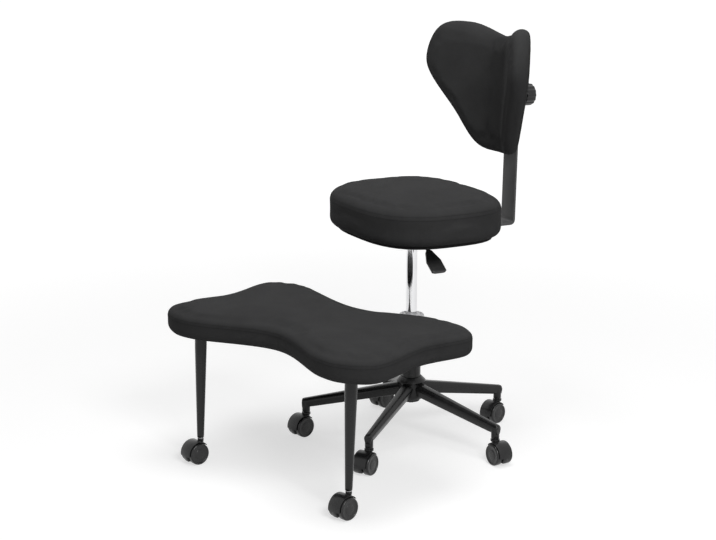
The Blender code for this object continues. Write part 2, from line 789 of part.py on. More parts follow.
node("valve_button", turned("valve_button", [
    (0, CYLINDER_TOP - BUTTON_DEEP + BUTTON_OUT),
    (BUTTON_R, CYLINDER_TOP - BUTTON_DEEP + BUTTON_OUT),
    (BUTTON_R, CYLINDER_TOP + BUTTON_OUT),
    (0, CYLINDER_TOP + BUTTON_OUT),
], 12), STEEL, SEAT_FRAME)

# Footrest
FOOT_HALF = [(0.0, FOOT_FRONT_WAIST), *FOOT_FRONT_LOBE, FOOT_END, *FOOT_BACK_LOBE]
FOOT_LOOP = FOOT_HALF + [(0.0, FOOT_BACK_WAIST)] + [(-x, y) for x, y in FOOT_HALF[:0:-1]]
FOOT_OUTLINE = smooth_loop(FOOT_LOOP, FOOT_POINTS)
FOOT_MIDDLE = Vector((0.0, FOOT_MIDDLE_Y))
FOOT_BOARD_TOP = FOOT_BOARD_Z + FOOT_BOARD
node("footrest_sleeve", turned("footrest_sleeve", [
    (TUBE_R + RUN, STOP_Z + GAP),
    (SLEEVE_R, STOP_Z + GAP),
    (SLEEVE_R, SLEEVE_TOP),
    (TUBE_R + RUN, SLEEVE_TOP),
], LIFT_SIDES), GREY)
ARM_TOP_Z = FOOT_BOARD_Z - GAP
arm_box = box(
    "footrest_arm",
    (-FOOT_ARM_W / 2, FOOT_ARM_END, ARM_TOP_Z - FOOT_ARM_DEEP),
    (FOOT_ARM_W / 2, 0.0, ARM_TOP_Z),
)
saddle = rod("saddle", (0, 0, STOP_Z), (0, 0, SLEEVE_TOP), SLEEVE_R + GAP, LIFT_SIDES)
inside = box(
    "inside",
    (FOOT_ARM_WALL - FOOT_ARM_W / 2, FOOT_ARM_END - FOOT_ARM_WALL, ARM_TOP_Z - FOOT_ARM_DEEP + FOOT_ARM_WALL),
    (FOOT_ARM_W / 2 - FOOT_ARM_WALL, SLEEVE_R, ARM_TOP_Z - FOOT_ARM_WALL),
)
node("footrest_arm", combined("footrest_arm", arm_box, [saddle, inside], "DIFFERENCE"), PAINT)
node("footrest_board", panel(
    "footrest_board", inset(FOOT_OUTLINE, FOOT_BOARD_INSET), FOOT_BOARD_Z, FOOT_BOARD_TOP
), LINING)
node("footrest_cushion", padded(
    "footrest_cushion", FOOT_OUTLINE, FOOT_BOARD_INSET, FOOT_MIDDLE, FOOT_BOTTOM, FOOT_BOARD_TOP + GAP,
    FOOT_TOP, FOOT_CROWN, FOOT_EDGE, FOOT_UNDER, FOOT_DRAW,
), FABRIC)


def leg_mesh():
    """A tapered tube leg with its flange on top. Above the caster's stem it leans towards the column."""
    mesh = turned("leg", [
        (0, STEM_TOP),
        (STEM_R + GAP, STEM_TOP),
        (STEM_R + GAP, SOCKET_BOTTOM),
        (LEG_FOOT_R, SOCKET_BOTTOM),
        (LEG_TOP_R, LEG_TOP - LEG_FLANGE - LEG_TAPER_DROP),
        (LEG_TOP_R, LEG_TOP - LEG_FLANGE),
        (LEG_FLANGE_R, LEG_TOP - LEG_FLANGE),
        (LEG_FLANGE_R, LEG_TOP),
        (LEG_TOP_R - LEG_WALL, LEG_TOP),
        (LEG_TOP_R - LEG_WALL, LEG_TOP - LEG_FLANGE - LEG_TAPER_DROP),
        (LEG_FOOT_R - LEG_WALL, STEM_TOP + LEG_WALL),
        (0, STEM_TOP + LEG_WALL),
    ], LEG_SIDES)
    for vertex in mesh.vertices:
        vertex.co.y += max(0.0, vertex.co.z - STEM_TOP) * tan(radians(LEG_RAKE))
    return mesh


LEG = leg_mesh()
node("leg_left", LEG.copy(), PAINT, Matrix.Translation((-LEG_X, LEG_Y, 0.0)))
node("leg_right", LEG.copy(), PAINT, Matrix.Translation((LEG_X, LEG_Y, 0.0)))


# Seat
def seat_outline():
    """The seat's plan, a square with full round corners."""
    found = []
    for k in range(SEAT_POINTS):
        angle = 2 * pi * k / SEAT_POINTS
        c, s = cos(angle), sin(angle)
        x = SEAT_A * (abs(c) ** (2 / SEAT_POWER)) * (1 if c > 0 else -1)
        y = SEAT_B * (abs(s) ** (2 / SEAT_POWER)) * (1 if s > 0 else -1)
        found.append(Vector((x, y + SEAT_SHIFT)))
    return smooth_loop(found, SEAT_POINTS)


SEAT_OUTLINE = seat_outline()
SEAT_MIDDLE = Vector((0.0, SEAT_SHIFT))
SEAT_BOARD_TOP = SEAT_BOARD_Z + SEAT_BOARD
BOLT_SPOTS = [(x, y) for x in (-BOLT_X, BOLT_X) for y in (-BOLT_Y, BOLT_Y)]
BAR_SPOTS = [(0.0, y) for y in BAR_BOLTS]
BOLT_HOLE_TOP = SEAT_BOARD_Z + BOLT_IN_BOARD + GAP


def bolt_mesh(seat):
    """A hexagon-headed bolt whose head's top lies under the face at height seat."""
    tip = SEAT_BOARD_Z + BOLT_IN_BOARD
    profile = [
        (0, seat - BOLT_HEAD),
        (BOLT_HEAD_R, seat - BOLT_HEAD),
        (BOLT_HEAD_R, seat),
        (BOLT_R, seat),
        (BOLT_R, tip),
        (0, tip),
    ]
    return turned("bolt", profile, 6)


def bolt_holes(spots, low):
    """The holes for the bolts at these spots, from a height up into the board."""
    return [rod("hole", (*spot, low), (*spot, BOLT_HOLE_TOP), BOLT_R + GAP, 10) for spot in spots]


seat_panel = panel("seat_board", inset(SEAT_OUTLINE, SEAT_BOARD_INSET), SEAT_BOARD_Z, SEAT_BOARD_TOP)
board_holes = bolt_holes(BOLT_SPOTS + BAR_SPOTS, PLATE_Z - BOLT_HEAD)
node("seat_board", combined("seat_board", seat_panel, board_holes, "DIFFERENCE"), LINING, SEAT_FRAME)
node("seat_cushion", padded(
    "seat_cushion", SEAT_OUTLINE, SEAT_BOARD_INSET, SEAT_MIDDLE, SEAT_BOTTOM, SEAT_BOARD_TOP + GAP,
    SEAT_TOP, SEAT_CROWN, SEAT_EDGE, SEAT_UNDER, SEAT_DRAW,
), FABRIC, SEAT_FRAME)


def taper_radius(z):
    """The cylinder's outside where it goes into the seat plate."""
    return CYLINDER_R - TAPER_IN * (z - TAPER_FROM) / TAPER


def plate_mesh():
    """The seat plate: a flange under the board, a channel below it for the lever, and the taper's socket."""
    wall = PLATE
    half = CHANNEL_W / 2
    flange = box("flange", (-PLATE_X / 2, -PLATE_Y / 2, PLATE_Z), (PLATE_X / 2, PLATE_Y / 2, PLATE_Z + PLATE))
    lap = PLATE / 2
    left = box("left", (CHANNEL_FROM, -half, CHANNEL_Z), (CHANNEL_TO, -half + wall, PLATE_Z + lap))
    right = box("right", (CHANNEL_FROM, half - wall, CHANNEL_Z), (CHANNEL_TO, half, PLATE_Z + lap))
    floor = box("floor", (CHANNEL_FROM, -half + lap, CHANNEL_Z), (CHANNEL_TO, half - lap, CHANNEL_Z + wall))
    socket_top = CYLINDER_TOP - PLATE
    outside = CYLINDER_R + SOCKET_WALL
    socket = rod("socket", (0, 0, TAPER_FROM), (0, 0, socket_top), outside, LIFT_SIDES)
    whole = combined("plate", flange, [left, right, floor, socket], "UNION")
    low, high = TAPER_FROM - PLATE, socket_top + PLATE
    bore = turned("bore", [
        (0, low),
        (taper_radius(low) + GAP, low),
        (taper_radius(high) + GAP, high),
        (0, high),
    ], LIFT_SIDES)
    reach = half + wall
    pin = rod("pin", (LEVER_PIVOT, -reach, LEVER_Z), (LEVER_PIVOT, reach, LEVER_Z), LEVER_PIN_R + GAP, 12)
    holes = bolt_holes(BOLT_SPOTS, CHANNEL_Z)
    return combined("seat_plate", whole, [bore, pin] + holes, "DIFFERENCE")


node("seat_plate", plate_mesh(), PAINT, SEAT_FRAME)
for k, (x, y) in enumerate(BOLT_SPOTS, start=1):
    node(f"seat_bolt_{k}", bolt_mesh(PLATE_Z - GAP), STEEL, SEAT_FRAME @ Matrix.Translation((x, y, 0.0)))

# Release lever: its frame has its origin on the pivot pin
LEVER_FRAME = SEAT_FRAME @ Matrix.Translation((LEVER_PIVOT, 0.0, LEVER_Z))
ACROSS = Vector((0.0, 1.0, 0.0))
half_pin = CHANNEL_W / 2
node("lever_pin", rod("lever_pin", (0, -half_pin, 0), (0, half_pin, 0), LEVER_PIN_R, 12), STEEL, LEVER_FRAME)


def lever_point(x, above):
    """A place on the lever in the pivot's frame, from its distance from the column."""
    return Vector((x - LEVER_PIVOT, 0.0, above))


ROD_DROP = lever_point(*LEVER_DROP)
ROD_END = lever_point(*LEVER_END)
LEVER_PATH = eased([
    lever_point(LEVER_INNER, 0.0),
    lever_point(LEVER_BEND, 0.0),
    ROD_DROP,
    ROD_END,
], 2 * LEVER_R, 3)
lever_bar = piped("lever_rod", LEVER_PATH, ACROSS, LEVER_R, 10)
pin_hole = rod("pin_hole", (0, -half_pin, 0), (0, half_pin, 0), LEVER_PIN_R + RUN, 12)
node("lever_rod", combined("lever_rod", lever_bar, [pin_hole], "DIFFERENCE"), STEEL, LEVER_FRAME)


def paddle_mesh():
    """The moulded grip, which widens outwards, with a hole for the end of the rod."""
    start = lever_point(*PADDLE_FROM)
    end = lever_point(*PADDLE_TO)
    along = (end - start).normalized()
    up = ACROSS.cross(along).normalized()
    if up.z < 0:
        up = -up
    rings = []
    for share, grow in ((0.0, 0.78), (0.06, 1.0), (PADDLE_FLARE, 1.0), (0.94, 1.0), (1.0, 0.86)):
        wide = (PADDLE_W0 + (PADDLE_W1 - PADDLE_W0) * min(1.0, share / PADDLE_FLARE)) / 2 * grow
        thick = (PADDLE_T0 + (PADDLE_T1 - PADDLE_T0) * share) / 2 * grow
        flat = wide - thick * 0.6
        side = thick * 0.4
        corners = [
            (flat, -thick), (wide, -side), (wide, side), (flat, thick),
            (-flat, thick), (-wide, side), (-wide, -side), (-flat, -thick),
        ]
        middle = start.lerp(end, share)
        rings.append([middle + ACROSS * y + up * z for y, z in corners])
    grip = loft("paddle", rings)
    line = (ROD_END - ROD_DROP).normalized()
    hole = rod("hole", ROD_DROP - line * LEVER_R, ROD_END + line * GAP, LEVER_R + GAP, 10)
    bend = piped("bend", LEVER_PATH[-6:], ACROSS, LEVER_R + GAP, 10)
    return combined("lever_paddle", grip, [hole, bend], "DIFFERENCE")


node("lever_paddle", paddle_mesh(), PLASTIC, LEVER_FRAME)

# Back bar
def up_bar(height):
    """A height above the seat board's underside, measured from the middle of the bar's foot."""
    return height + GAP + BAR_T / 2


FOOT = Vector((0.0, BAR_R, BAR_MIDDLE_Z))
LEAN = radians(BAR_LEAN)
UPRIGHT = Vector((0.0, sin(LEAN), cos(LEAN)))
SIDEWAYS = Vector((1.0, 0.0, 0.0))
BAR_LENGTH = up_bar(BAR_TOP) / cos(LEAN)
BAR_PATH = eased([Vector((0.0, BAR_FROM, BAR_MIDDLE_Z)), FOOT, FOOT + UPRIGHT * BAR_LENGTH], BAR_BEND, 6)
bar = swept("back_bar", BAR_PATH, SIDEWAYS, BAR_W / 2, BAR_T / 2)
bar_holes = bolt_holes(BAR_SPOTS, BAR_MIDDLE_Z - BAR_T)
node("back_bar", combined("back_bar", bar, bar_holes, "DIFFERENCE"), BAR_PAINT, SEAT_FRAME)
for k, (x, y) in enumerate(BAR_SPOTS, start=1):
    under_bar = BAR_TOP_FACE - BAR_T - GAP
    node(f"bar_bolt_{k}", bolt_mesh(under_bar), STEEL, SEAT_FRAME @ Matrix.Translation((x, y, 0.0)))

# Back: its frame has its origin in the bar's foot and +Z up along the bar
BACK_FRAME = SEAT_FRAME @ Matrix.Translation(FOOT) @ Matrix.Rotation(-LEAN, 4, "X")
SLOT_X = BAR_W / 2 + RUN
SLOT_Y = BAR_T / 2 + RUN
BRACKET_FRONT_Y = -SLOT_Y - BRACKET_WALL
BRACKET_BACK_Y = SLOT_Y + BRACKET_BACK
BACK_MIDDLE = Vector((0.0, up_bar(BACK_CENTRE)))
TILT = radians(BACK_TILT)
bracket_low = up_bar(BRACKET_LOW)
bracket_high = bracket_low + BRACKET_HIGH
KNOB_UP = bracket_low + KNOB_ABOVE


def bracket_ring(z):
    """The bracket's outside at a height. Its front face leans with the back that is screwed to it."""
    side = SLOT_X + BRACKET_SIDE
    front = BRACKET_FRONT_Y + (z - BACK_MIDDLE.y) * tan(TILT)
    return [(-side, front, z), (side, front, z), (side, BRACKET_BACK_Y, z), (-side, BRACKET_BACK_Y, z)]


bracket = loft("bracket", [bracket_ring(bracket_low), bracket_ring(bracket_high)])
slot = box(
    "slot",
    (-SLOT_X, -SLOT_Y, bracket_low - BRACKET_WALL),
    (SLOT_X, SLOT_Y, bracket_high + BRACKET_WALL),
)
stud_hole = rod("stud_hole", (0, 0, KNOB_UP), (0, BRACKET_BACK_Y + BRACKET_WALL, KNOB_UP), STUD_R + RUN, 14)
bracket = combined("back_bracket", bracket, [slot, stud_hole], "DIFFERENCE")
node("back_bracket", bracket, PAINT, BACK_FRAME)


def knob_mesh():
    """The ridged knob with its stud, turning about Y, with the stud's tip on the bar."""
    ridged = [KNOB_R, KNOB_R - KNOB_RIDGE]
    tip = BAR_T / 2 + GAP
    neck = BRACKET_BACK_Y + GAP
    head = neck + KNOB_NECK
    back = head + KNOB_T
    rows = [
        (tip, STUD_R, False),
        (neck, STUD_R, False),
        (neck, KNOB_NECK_R, False),
        (head, KNOB_NECK_R, False),
        (head, 0, True),
        (back - KNOB_RIDGE, 0, True),
        (back, KNOB_R - 2 * KNOB_RIDGE, False),
    ]
    rings = []
    count = 2 * KNOB_RIDGES
    for y, radius, ribbed in rows:
        ring = []
        for k in range(count):
            angle = 2 * pi * k / count
            here = ridged[k % 2] if ribbed else radius
            ring.append((here * cos(angle), y, here * sin(angle)))
        rings.append(ring)
    return loft("back_knob", rings)


node("back_knob", knob_mesh(), PLASTIC, BACK_FRAME @ Matrix.Translation((0.0, 0.0, KNOB_UP)))

BACK_HALF = [(0.0, BACK_TIP), BACK_HIP, BACK_FLANK, BACK_SIDE, BACK_SHOULDER, BACK_LOBE]
BACK_LOOP = BACK_HALF + [(0.0, BACK_NOTCH)] + [(-x, z) for x, z in BACK_HALF[:0:-1]]
BACK_OUTLINE = smooth_loop([(x, up_bar(z)) for x, z in BACK_LOOP], BACK_POINTS)
BOARD_REAR_Y = BRACKET_FRONT_Y - GAP
BACK_BOARD_INSET = BACK_REAR_EDGE + BACK_LIP
BACK_RINGS = (0.14, 0.55, 1.0)
TILT_AXIS = Matrix.Translation((0.0, BOARD_REAR_Y, BACK_MIDDLE.y))
PAD_FRAME = BACK_FRAME @ TILT_AXIS @ Matrix.Rotation(-TILT, 4, "X") @ TILT_AXIS.inverted()


def wrap(side):
    """How far the back reaches forward at a distance from its middle line."""
    past = (abs(side) - BACK_FLAT) / (BACK_REACH - BACK_FLAT)
    return BACK_WRAP * past ** BACK_WRAP_POWER if past > 0 else 0.0


def thickness(side):
    """The back's thickness with its board: thin at the valley, full on the lobes."""
    return BACK_THICK + BACK_SWELL * sin(min(1.0, abs(side) / BACK_SWELL_AT) * pi / 2) ** 2


def widest(side):
    """Where the roll of the edge is widest, as a share of the thickness: further ahead at the notch."""
    near = cos(min(1.0, abs(side) / BACK_NOTCH_REACH) * pi / 2) ** 2
    return BACK_WIDEST + (BACK_NOTCH_WIDEST - BACK_WIDEST) * near


def rear_roll(angle):
    """The depth of the roll behind its widest line, at an angle from its rear end."""
    return lambda side: thickness(side) * widest(side) * (1 - cos(angle))


def front_roll(angle):
    """The depth of the roll ahead of its widest line, at an angle from that line."""
    return lambda side: thickness(side) * (widest(side) + (1 - widest(side)) * sin(angle))


def wrapped(outline, depth):
    """An outline's ring at a depth ahead of the board's rear face: a number, or a function of the side."""
    ring = []
    for p in outline:
        ahead = depth(p.x) if callable(depth) else depth
        ring.append((p.x, BOARD_REAR_Y - wrap(p.x) - ahead, p.y))
    return ring


def back_board_mesh():
    outline = inset(BACK_OUTLINE, BACK_BOARD_INSET)
    front = [wrapped(shrunk(outline, BACK_MIDDLE, share), BACK_BOARD) for share in BACK_RINGS]
    rear = [wrapped(shrunk(outline, BACK_MIDDLE, share), 0.0) for share in reversed(BACK_RINGS)]
    return loft("back_board", front + rear, split=True)


def back_cushion_mesh():
    """The wrapped cushion: a pocket behind for the board, rolled edges, two lobes and a valley."""
    board = inset(BACK_OUTLINE, BACK_BOARD_INSET)
    pocket = inset(BACK_OUTLINE, BACK_BOARD_INSET - GAP)
    bed = BACK_BOARD + GAP
    rings = [wrapped(shrunk(board, BACK_MIDDLE, share), bed) for share in BACK_RINGS]
    rings += [
        wrapped(pocket, bed),
        wrapped(pocket, 2 * GAP),
        wrapped(inset(BACK_OUTLINE, BACK_REAR_EDGE * 0.9), 2 * GAP),
    ]
    for angle in (pi / 4, pi / 2):
        around = inset(BACK_OUTLINE, BACK_REAR_EDGE * (1 - sin(angle)))
        rings.append(wrapped(around, rear_roll(angle)))
    for angle in (pi / 4, pi * 0.39, pi / 2):
        around = inset(BACK_OUTLINE, BACK_EDGE * (1 - cos(angle)))
        rings.append(wrapped(around, front_roll(angle)))
    seam = inset(BACK_OUTLINE, BACK_EDGE)
    rings += [wrapped(shrunk(seam, BACK_MIDDLE, share), thickness) for share in (0.80, 0.56, 0.32, 0.10)]
    return loft("back_cushion", rings, split=True)


node("back_board", back_board_mesh(), LINING, PAD_FRAME)
node("back_cushion", back_cushion_mesh(), FABRIC, PAD_FRAME)
for spare in (STAR_HOOD, LEG_HOOD, WHEEL, STEM, LEG):
    bpy.data.meshes.remove(spare)

# The part's frame: the origin is on the floor under the middle of the whole part
corners = [item.matrix_world @ v.co for item in MADE.values() for v in item.data.vertices]
MIDDLE_X = (min(c.x for c in corners) + max(c.x for c in corners)) / 2
MIDDLE_Y = (min(c.y for c in corners) + max(c.y for c in corners)) / 2
for item in MADE.values():
    item.matrix_world = Matrix.Translation((-MIDDLE_X, -MIDDLE_Y, 0.0)) @ item.matrix_world
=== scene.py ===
"""Looks of the cross-legged office chair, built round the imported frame.

Metres, +Z up, in the frame's own axes.
"""

import json
from math import cos, pi, radians, sin, sqrt

import bmesh
import bpy
import numpy as np
from mathutils import Matrix, Vector
from mathutils.bvhtree import BVHTree

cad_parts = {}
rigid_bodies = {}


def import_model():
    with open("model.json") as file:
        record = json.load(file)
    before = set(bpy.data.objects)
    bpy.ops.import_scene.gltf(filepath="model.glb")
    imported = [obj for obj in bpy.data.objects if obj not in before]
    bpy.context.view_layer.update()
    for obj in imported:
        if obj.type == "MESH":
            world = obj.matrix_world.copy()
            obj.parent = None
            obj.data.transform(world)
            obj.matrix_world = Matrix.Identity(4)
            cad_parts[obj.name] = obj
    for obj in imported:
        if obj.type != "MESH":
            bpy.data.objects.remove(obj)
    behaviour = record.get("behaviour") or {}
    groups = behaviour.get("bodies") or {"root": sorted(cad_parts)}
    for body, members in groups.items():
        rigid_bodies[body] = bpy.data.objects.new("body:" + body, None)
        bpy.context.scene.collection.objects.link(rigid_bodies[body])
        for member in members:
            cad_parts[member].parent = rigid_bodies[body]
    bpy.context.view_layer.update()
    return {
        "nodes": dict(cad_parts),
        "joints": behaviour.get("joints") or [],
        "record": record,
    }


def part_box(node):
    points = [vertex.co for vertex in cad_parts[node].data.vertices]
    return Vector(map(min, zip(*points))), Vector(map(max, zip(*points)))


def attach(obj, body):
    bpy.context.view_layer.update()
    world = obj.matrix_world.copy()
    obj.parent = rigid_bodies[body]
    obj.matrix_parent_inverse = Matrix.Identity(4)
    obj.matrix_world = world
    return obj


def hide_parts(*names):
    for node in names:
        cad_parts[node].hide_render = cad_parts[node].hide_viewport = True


for old in list(bpy.data.objects):
    bpy.data.objects.remove(old, do_unlink=True)

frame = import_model()
nodes = frame["nodes"]
scene = bpy.context.scene
body_of = {n: body for body, names in frame["record"]["behaviour"]["bodies"].items() for n in names}

# Places and clearances that the solids have too
tube_low, tube_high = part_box("gas_tube")
COLUMN = Vector(((tube_low.x + tube_high.x) / 2, (tube_low.y + tube_high.y) / 2, 0.0))
SEAT_TURN = radians(-18.0)
AT_COLUMN = Matrix.Translation(COLUMN)
SEAT_FRAME = AT_COLUMN @ Matrix.Rotation(SEAT_TURN, 4, "Z")
GAP = 0.0003
RUN = 0.0004

# Camera
LENS_PIXELS = 1618.7
IMAGE_WIDTH = 716
SENSOR_WIDTH = 36.0
CAMERA_FROM_COLUMN = Vector((2.7303, -3.0217, 1.4479))
CAMERA_DOWN = 13.689
CAMERA_TURN = 44.06
camera_data = bpy.data.cameras.new("camera")
camera_data.sensor_width = SENSOR_WIDTH
camera_data.lens = LENS_PIXELS / IMAGE_WIDTH * SENSOR_WIDTH
camera = bpy.data.objects.new("camera", camera_data)
scene.collection.objects.link(camera)
camera.location = COLUMN + CAMERA_FROM_COLUMN
camera.rotation_euler = (radians(90.0 - CAMERA_DOWN), 0.0, radians(CAMERA_TURN))
scene.camera = camera

scene.view_settings.view_transform = "Standard"


# Materials
class Look:
    """A Principled material with the few node helpers that the looks below share."""

    def __init__(self, name, colour, rough, metal=0.0, specular=0.5):
        self.material = bpy.data.materials.new(name)
        self.material.use_nodes = True
        self.tree = self.material.node_tree
        self.shader = self.tree.nodes["Principled BSDF"]
        self.set("Base Color", (*colour, 1.0))
        self.set("Roughness", rough)
        self.set("Metallic", metal)
        self.set("Specular IOR Level", specular)
        self.material.diffuse_color = (*colour, 1.0)
        self.place = self.tree.nodes.new("ShaderNodeTexCoord").outputs["Object"]

    def set(self, socket, value):
        self.shader.inputs[socket].default_value = value

    def link(self, start, end):
        self.tree.links.new(start, end)

    def noise(self, scale, detail, stretch=None):
        found = self.tree.nodes.new("ShaderNodeTexNoise")
        found.inputs["Scale"].default_value = scale
        found.inputs["Detail"].default_value = detail
        found.inputs["Roughness"].default_value = 0.55
        place = self.place
        if stretch is not None:
            mapping = self.tree.nodes.new("ShaderNodeMapping")
            mapping.inputs["Scale"].default_value = stretch
            self.link(place, mapping.inputs["Vector"])
            place = mapping.outputs["Vector"]
        self.link(place, found.inputs["Vector"])
        return found.outputs["Fac"]

    def ranged(self, value, low, high):
        """The middle of a noise's range stretched from low to high."""
        found = self.tree.nodes.new("ShaderNodeMapRange")
        found.inputs["From Min"].default_value = 0.3
        found.inputs["From Max"].default_value = 0.7
        found.inputs["To Min"].default_value = low
        found.inputs["To Max"].default_value = high
        self.link(value, found.inputs["Value"])
        return found.outputs["Result"]

    def maths(self, operation, a, b):
        found = self.tree.nodes.new("ShaderNodeMath")
        found.operation = operation
        self.link(a, found.inputs[0])
        self.link(b, found.inputs[1])
        return found.outputs["Value"]

    def mix(self, share, first, second):
        found = self.tree.nodes.new("ShaderNodeMix")
        found.data_type = "RGBA"
        self.link(share, found.inputs["Factor"])
        found.inputs[6].default_value = (*first, 1.0)
        found.inputs[7].default_value = (*second, 1.0)
        return found.outputs[2]

    def bump(self, height, strength, distance):
        found = self.tree.nodes.new("ShaderNodeBump")
        found.inputs["Strength"].default_value = strength
        found.inputs["Distance"].default_value = distance
        self.link(height, found.inputs["Height"])
        self.link(found.outputs["Normal"], self.shader.inputs["Normal"])

    def weave(self, period):
        """A height that rises and falls like crossed threads, whichever way the surface faces."""
        scaled = self.tree.nodes.new("ShaderNodeVectorMath")
        scaled.operation = "SCALE"
        scaled.inputs["Scale"].default_value = 2 * pi / period
        self.link(self.place, scaled.inputs[0])
        waves = self.tree.nodes.new("ShaderNodeVectorMath")
        waves.operation = "SINE"
        self.link(scaled.outputs["Vector"], waves.inputs[0])
        split = self.tree.nodes.new("ShaderNodeSeparateXYZ")
        self.link(waves.outputs["Vector"], split.inputs[0])
        x, y, z = split.outputs
        total = self.maths("ADD", self.maths("MULTIPLY", x, y), self.maths("MULTIPLY", y, z))
        return self.maths("ADD", total, self.maths("MULTIPLY", z, x))


def cloth_look(name, dark, light, rough, period, depth):
    """Woven upholstery: crossed threads, single threads that differ in shade, and a soft nap."""
    look = Look(name, dark, rough, specular=0.10)
    threads = look.weave(period)
    flecks = look.noise(900.0, 2.0)
    nap = look.noise(14.0, 3.0)
    shade = look.maths("ADD", look.ranged(flecks, 0.0, 0.62), look.ranged(nap, 0.0, 0.38))
    look.link(look.mix(shade, dark, light), look.shader.inputs["Base Color"])
    look.link(look.ranged(flecks, rough - 0.06, rough + 0.08), look.shader.inputs["Roughness"])
    look.bump(look.maths("ADD", threads, look.ranged(flecks, -0.6, 0.6)), 0.35, depth)
    return look.material


def paint_look(name, dark, light, rough, specular):
    """Powder-coated metal: a fine orange peel, with slight changes of shade and gloss."""
    look = Look(name, dark, rough, specular=specular)
    peel = look.noise(650.0, 2.0)
    cloud = look.noise(22.0, 4.0)
    look.link(look.mix(look.ranged(cloud, 0.0, 1.0), dark, light), look.shader.inputs["Base Color"])
    look.link(look.ranged(cloud, rough - 0.05, rough + 0.07), look.shader.inputs["Roughness"])
    look.bump(peel, 0.22, 0.0004)
    return look.material


def plastic_look(name, dark, light, rough, specular):
    """Moulded plastic with a spark-eroded grain."""
    look = Look(name, dark, rough, specular=specular)
    grain = look.noise(1500.0, 2.0)
    cloud = look.noise(40.0, 3.0)
    look.link(look.mix(look.ranged(cloud, 0.0, 1.0), dark, light), look.shader.inputs["Base Color"])
    look.link(look.ranged(grain, rough - 0.06, rough + 0.06), look.shader.inputs["Roughness"])
    look.bump(grain, 0.16, 0.0002)
    return look.material


def metal_look(name, colour, dark, rough, stretch):
    """Bare or plated metal, with faint drawn lines along its length."""
    look = Look(name, colour, rough, metal=1.0)
    lines = look.noise(300.0, 2.0, stretch=stretch)
    smudge = look.noise(18.0, 4.0)
    look.link(look.mix(look.ranged(smudge, 0.0, 0.5), colour, dark), look.shader.inputs["Base Color"])
    look.link(look.ranged(lines, rough * 0.8, rough * 1.3), look.shader.inputs["Roughness"])
    look.bump(lines, 0.05, 0.0002)
    return look.material


UPHOLSTERY = cloth_look("upholstery", (0.030, 0.030, 0.0305), (0.046, 0.046, 0.0466), 0.92, 0.0016, 0.0005)
THREAD = cloth_look("thread", (0.022, 0.022, 0.0224), (0.034, 0.034, 0.0345), 0.85, 0.0008, 0.0002)
LINING = cloth_look("lining", (0.022, 0.022, 0.0225), (0.034, 0.034, 0.0345), 0.95, 0.0024, 0.0004)
BLACK_PAINT = paint_look("black_paint", (0.010, 0.010, 0.0103), (0.016, 0.016, 0.0164), 0.27, 0.29)
BAR_PAINT = paint_look("bar_paint", (0.080, 0.080, 0.0808), (0.104, 0.104, 0.105), 0.46, 0.22)
BLACK_PLASTIC = plastic_look("black_plastic", (0.010, 0.010, 0.0103), (0.016, 0.016, 0.0164), 0.28, 0.36)
TREAD = plastic_look("tread", (0.012, 0.012, 0.0123), (0.019, 0.019, 0.0194), 0.26, 0.42)
GRIP_PLASTIC = plastic_look("grip_plastic", (0.032, 0.032, 0.0325), (0.045, 0.045, 0.0456), 0.50, 0.40)
GREY_COLLAR = plastic_look("grey_collar", (0.70, 0.70, 0.71), (0.78, 0.78, 0.79), 0.38, 0.50)
CHROME = metal_look("chrome", (0.76, 0.76, 0.77), (0.66, 0.66, 0.67), 0.12, (1.0, 1.0, 0.02))
STEEL = metal_look("steel", (0.52, 0.52, 0.53), (0.40, 0.40, 0.41), 0.32, (1.0, 1.0, 0.1))
DARK_STEEL = metal_look("dark_steel", (0.090, 0.090, 0.092), (0.060, 0.060, 0.061), 0.45, (1.0, 1.0, 0.1))


# Mesh helpers
def mesh_from(name, points, faces):
    """A mesh with its faces turned outwards."""
    mesh = bpy.data.meshes.new(name)
    mesh.from_pydata([tuple(p) for p in points], [], faces)
    work = bmesh.new()
    work.from_mesh(mesh)
    bmesh.ops.recalc_face_normals(work, faces=work.faces)
    work.to_mesh(mesh)
    work.free()
    return mesh


def loft(name, rings, closed=False):
    """A surface through rings of as many points each, closed into a ring or capped with a fan at each end."""
    count = len(rings[0])
    points = [Vector(p) for ring in rings for p in ring]
    faces = []
    rows = len(rings) if closed else len(rings) - 1
    for row in range(rows):
        low = row * count
        high = (row + 1) % len(rings) * count
        for i in range(count):
            j = (i + 1) % count
            faces.append((low + i, low + j, high + j, high + i))
    if not closed:
        for start in (0, (len(rings) - 1) * count):
            middle = sum((points[start + i] for i in range(count)), Vector()) / count
            points.append(middle)
            for i in range(count):
                faces.append((start + i, start + (i + 1) % count, len(points) - 1))
    return mesh_from(name, points, faces)


def eased(corners, cut, steps=3, closed=False):
    """The corners of a path or an outline rounded off, from a distance before each to the same after it."""
    corners = [Vector(c) for c in corners]
    last = len(corners)
    path = []
    for i, corner in enumerate(corners):
        if not closed and i in (0, last - 1):
            path.append(corner)
            continue
        before, after = corners[i - 1] - corner, corners[(i + 1) % last] - corner
        start = corner + before.normalized() * min(cut, before.length * 0.45)
        end = corner + after.normalized() * min(cut, after.length * 0.45)
        for k in range(steps + 1):
            t = k / steps
            path.append(start * (1 - t) ** 2 + corner * (2 * t * (1 - t)) + end * t ** 2)
    return path


def turned(name, profile, sides=56, cut=0.0006, steps=2):
    """A piece turned about Z from (radius, z) corners with eased edges, or a ring if no end is on the axis."""
    ring = profile[0][0] > 0 and profile[-1][0] > 0
    path = eased(profile, cut, steps, closed=ring)
    angles = [2 * pi * k / sides for k in range(sides)]
    rings = []
    for p in path:
        radius = max(p.x, 1e-5)
        rings.append([(radius * cos(angle), radius * sin(angle), p.y) for angle in angles])
    return loft(name, rings, closed=ring)


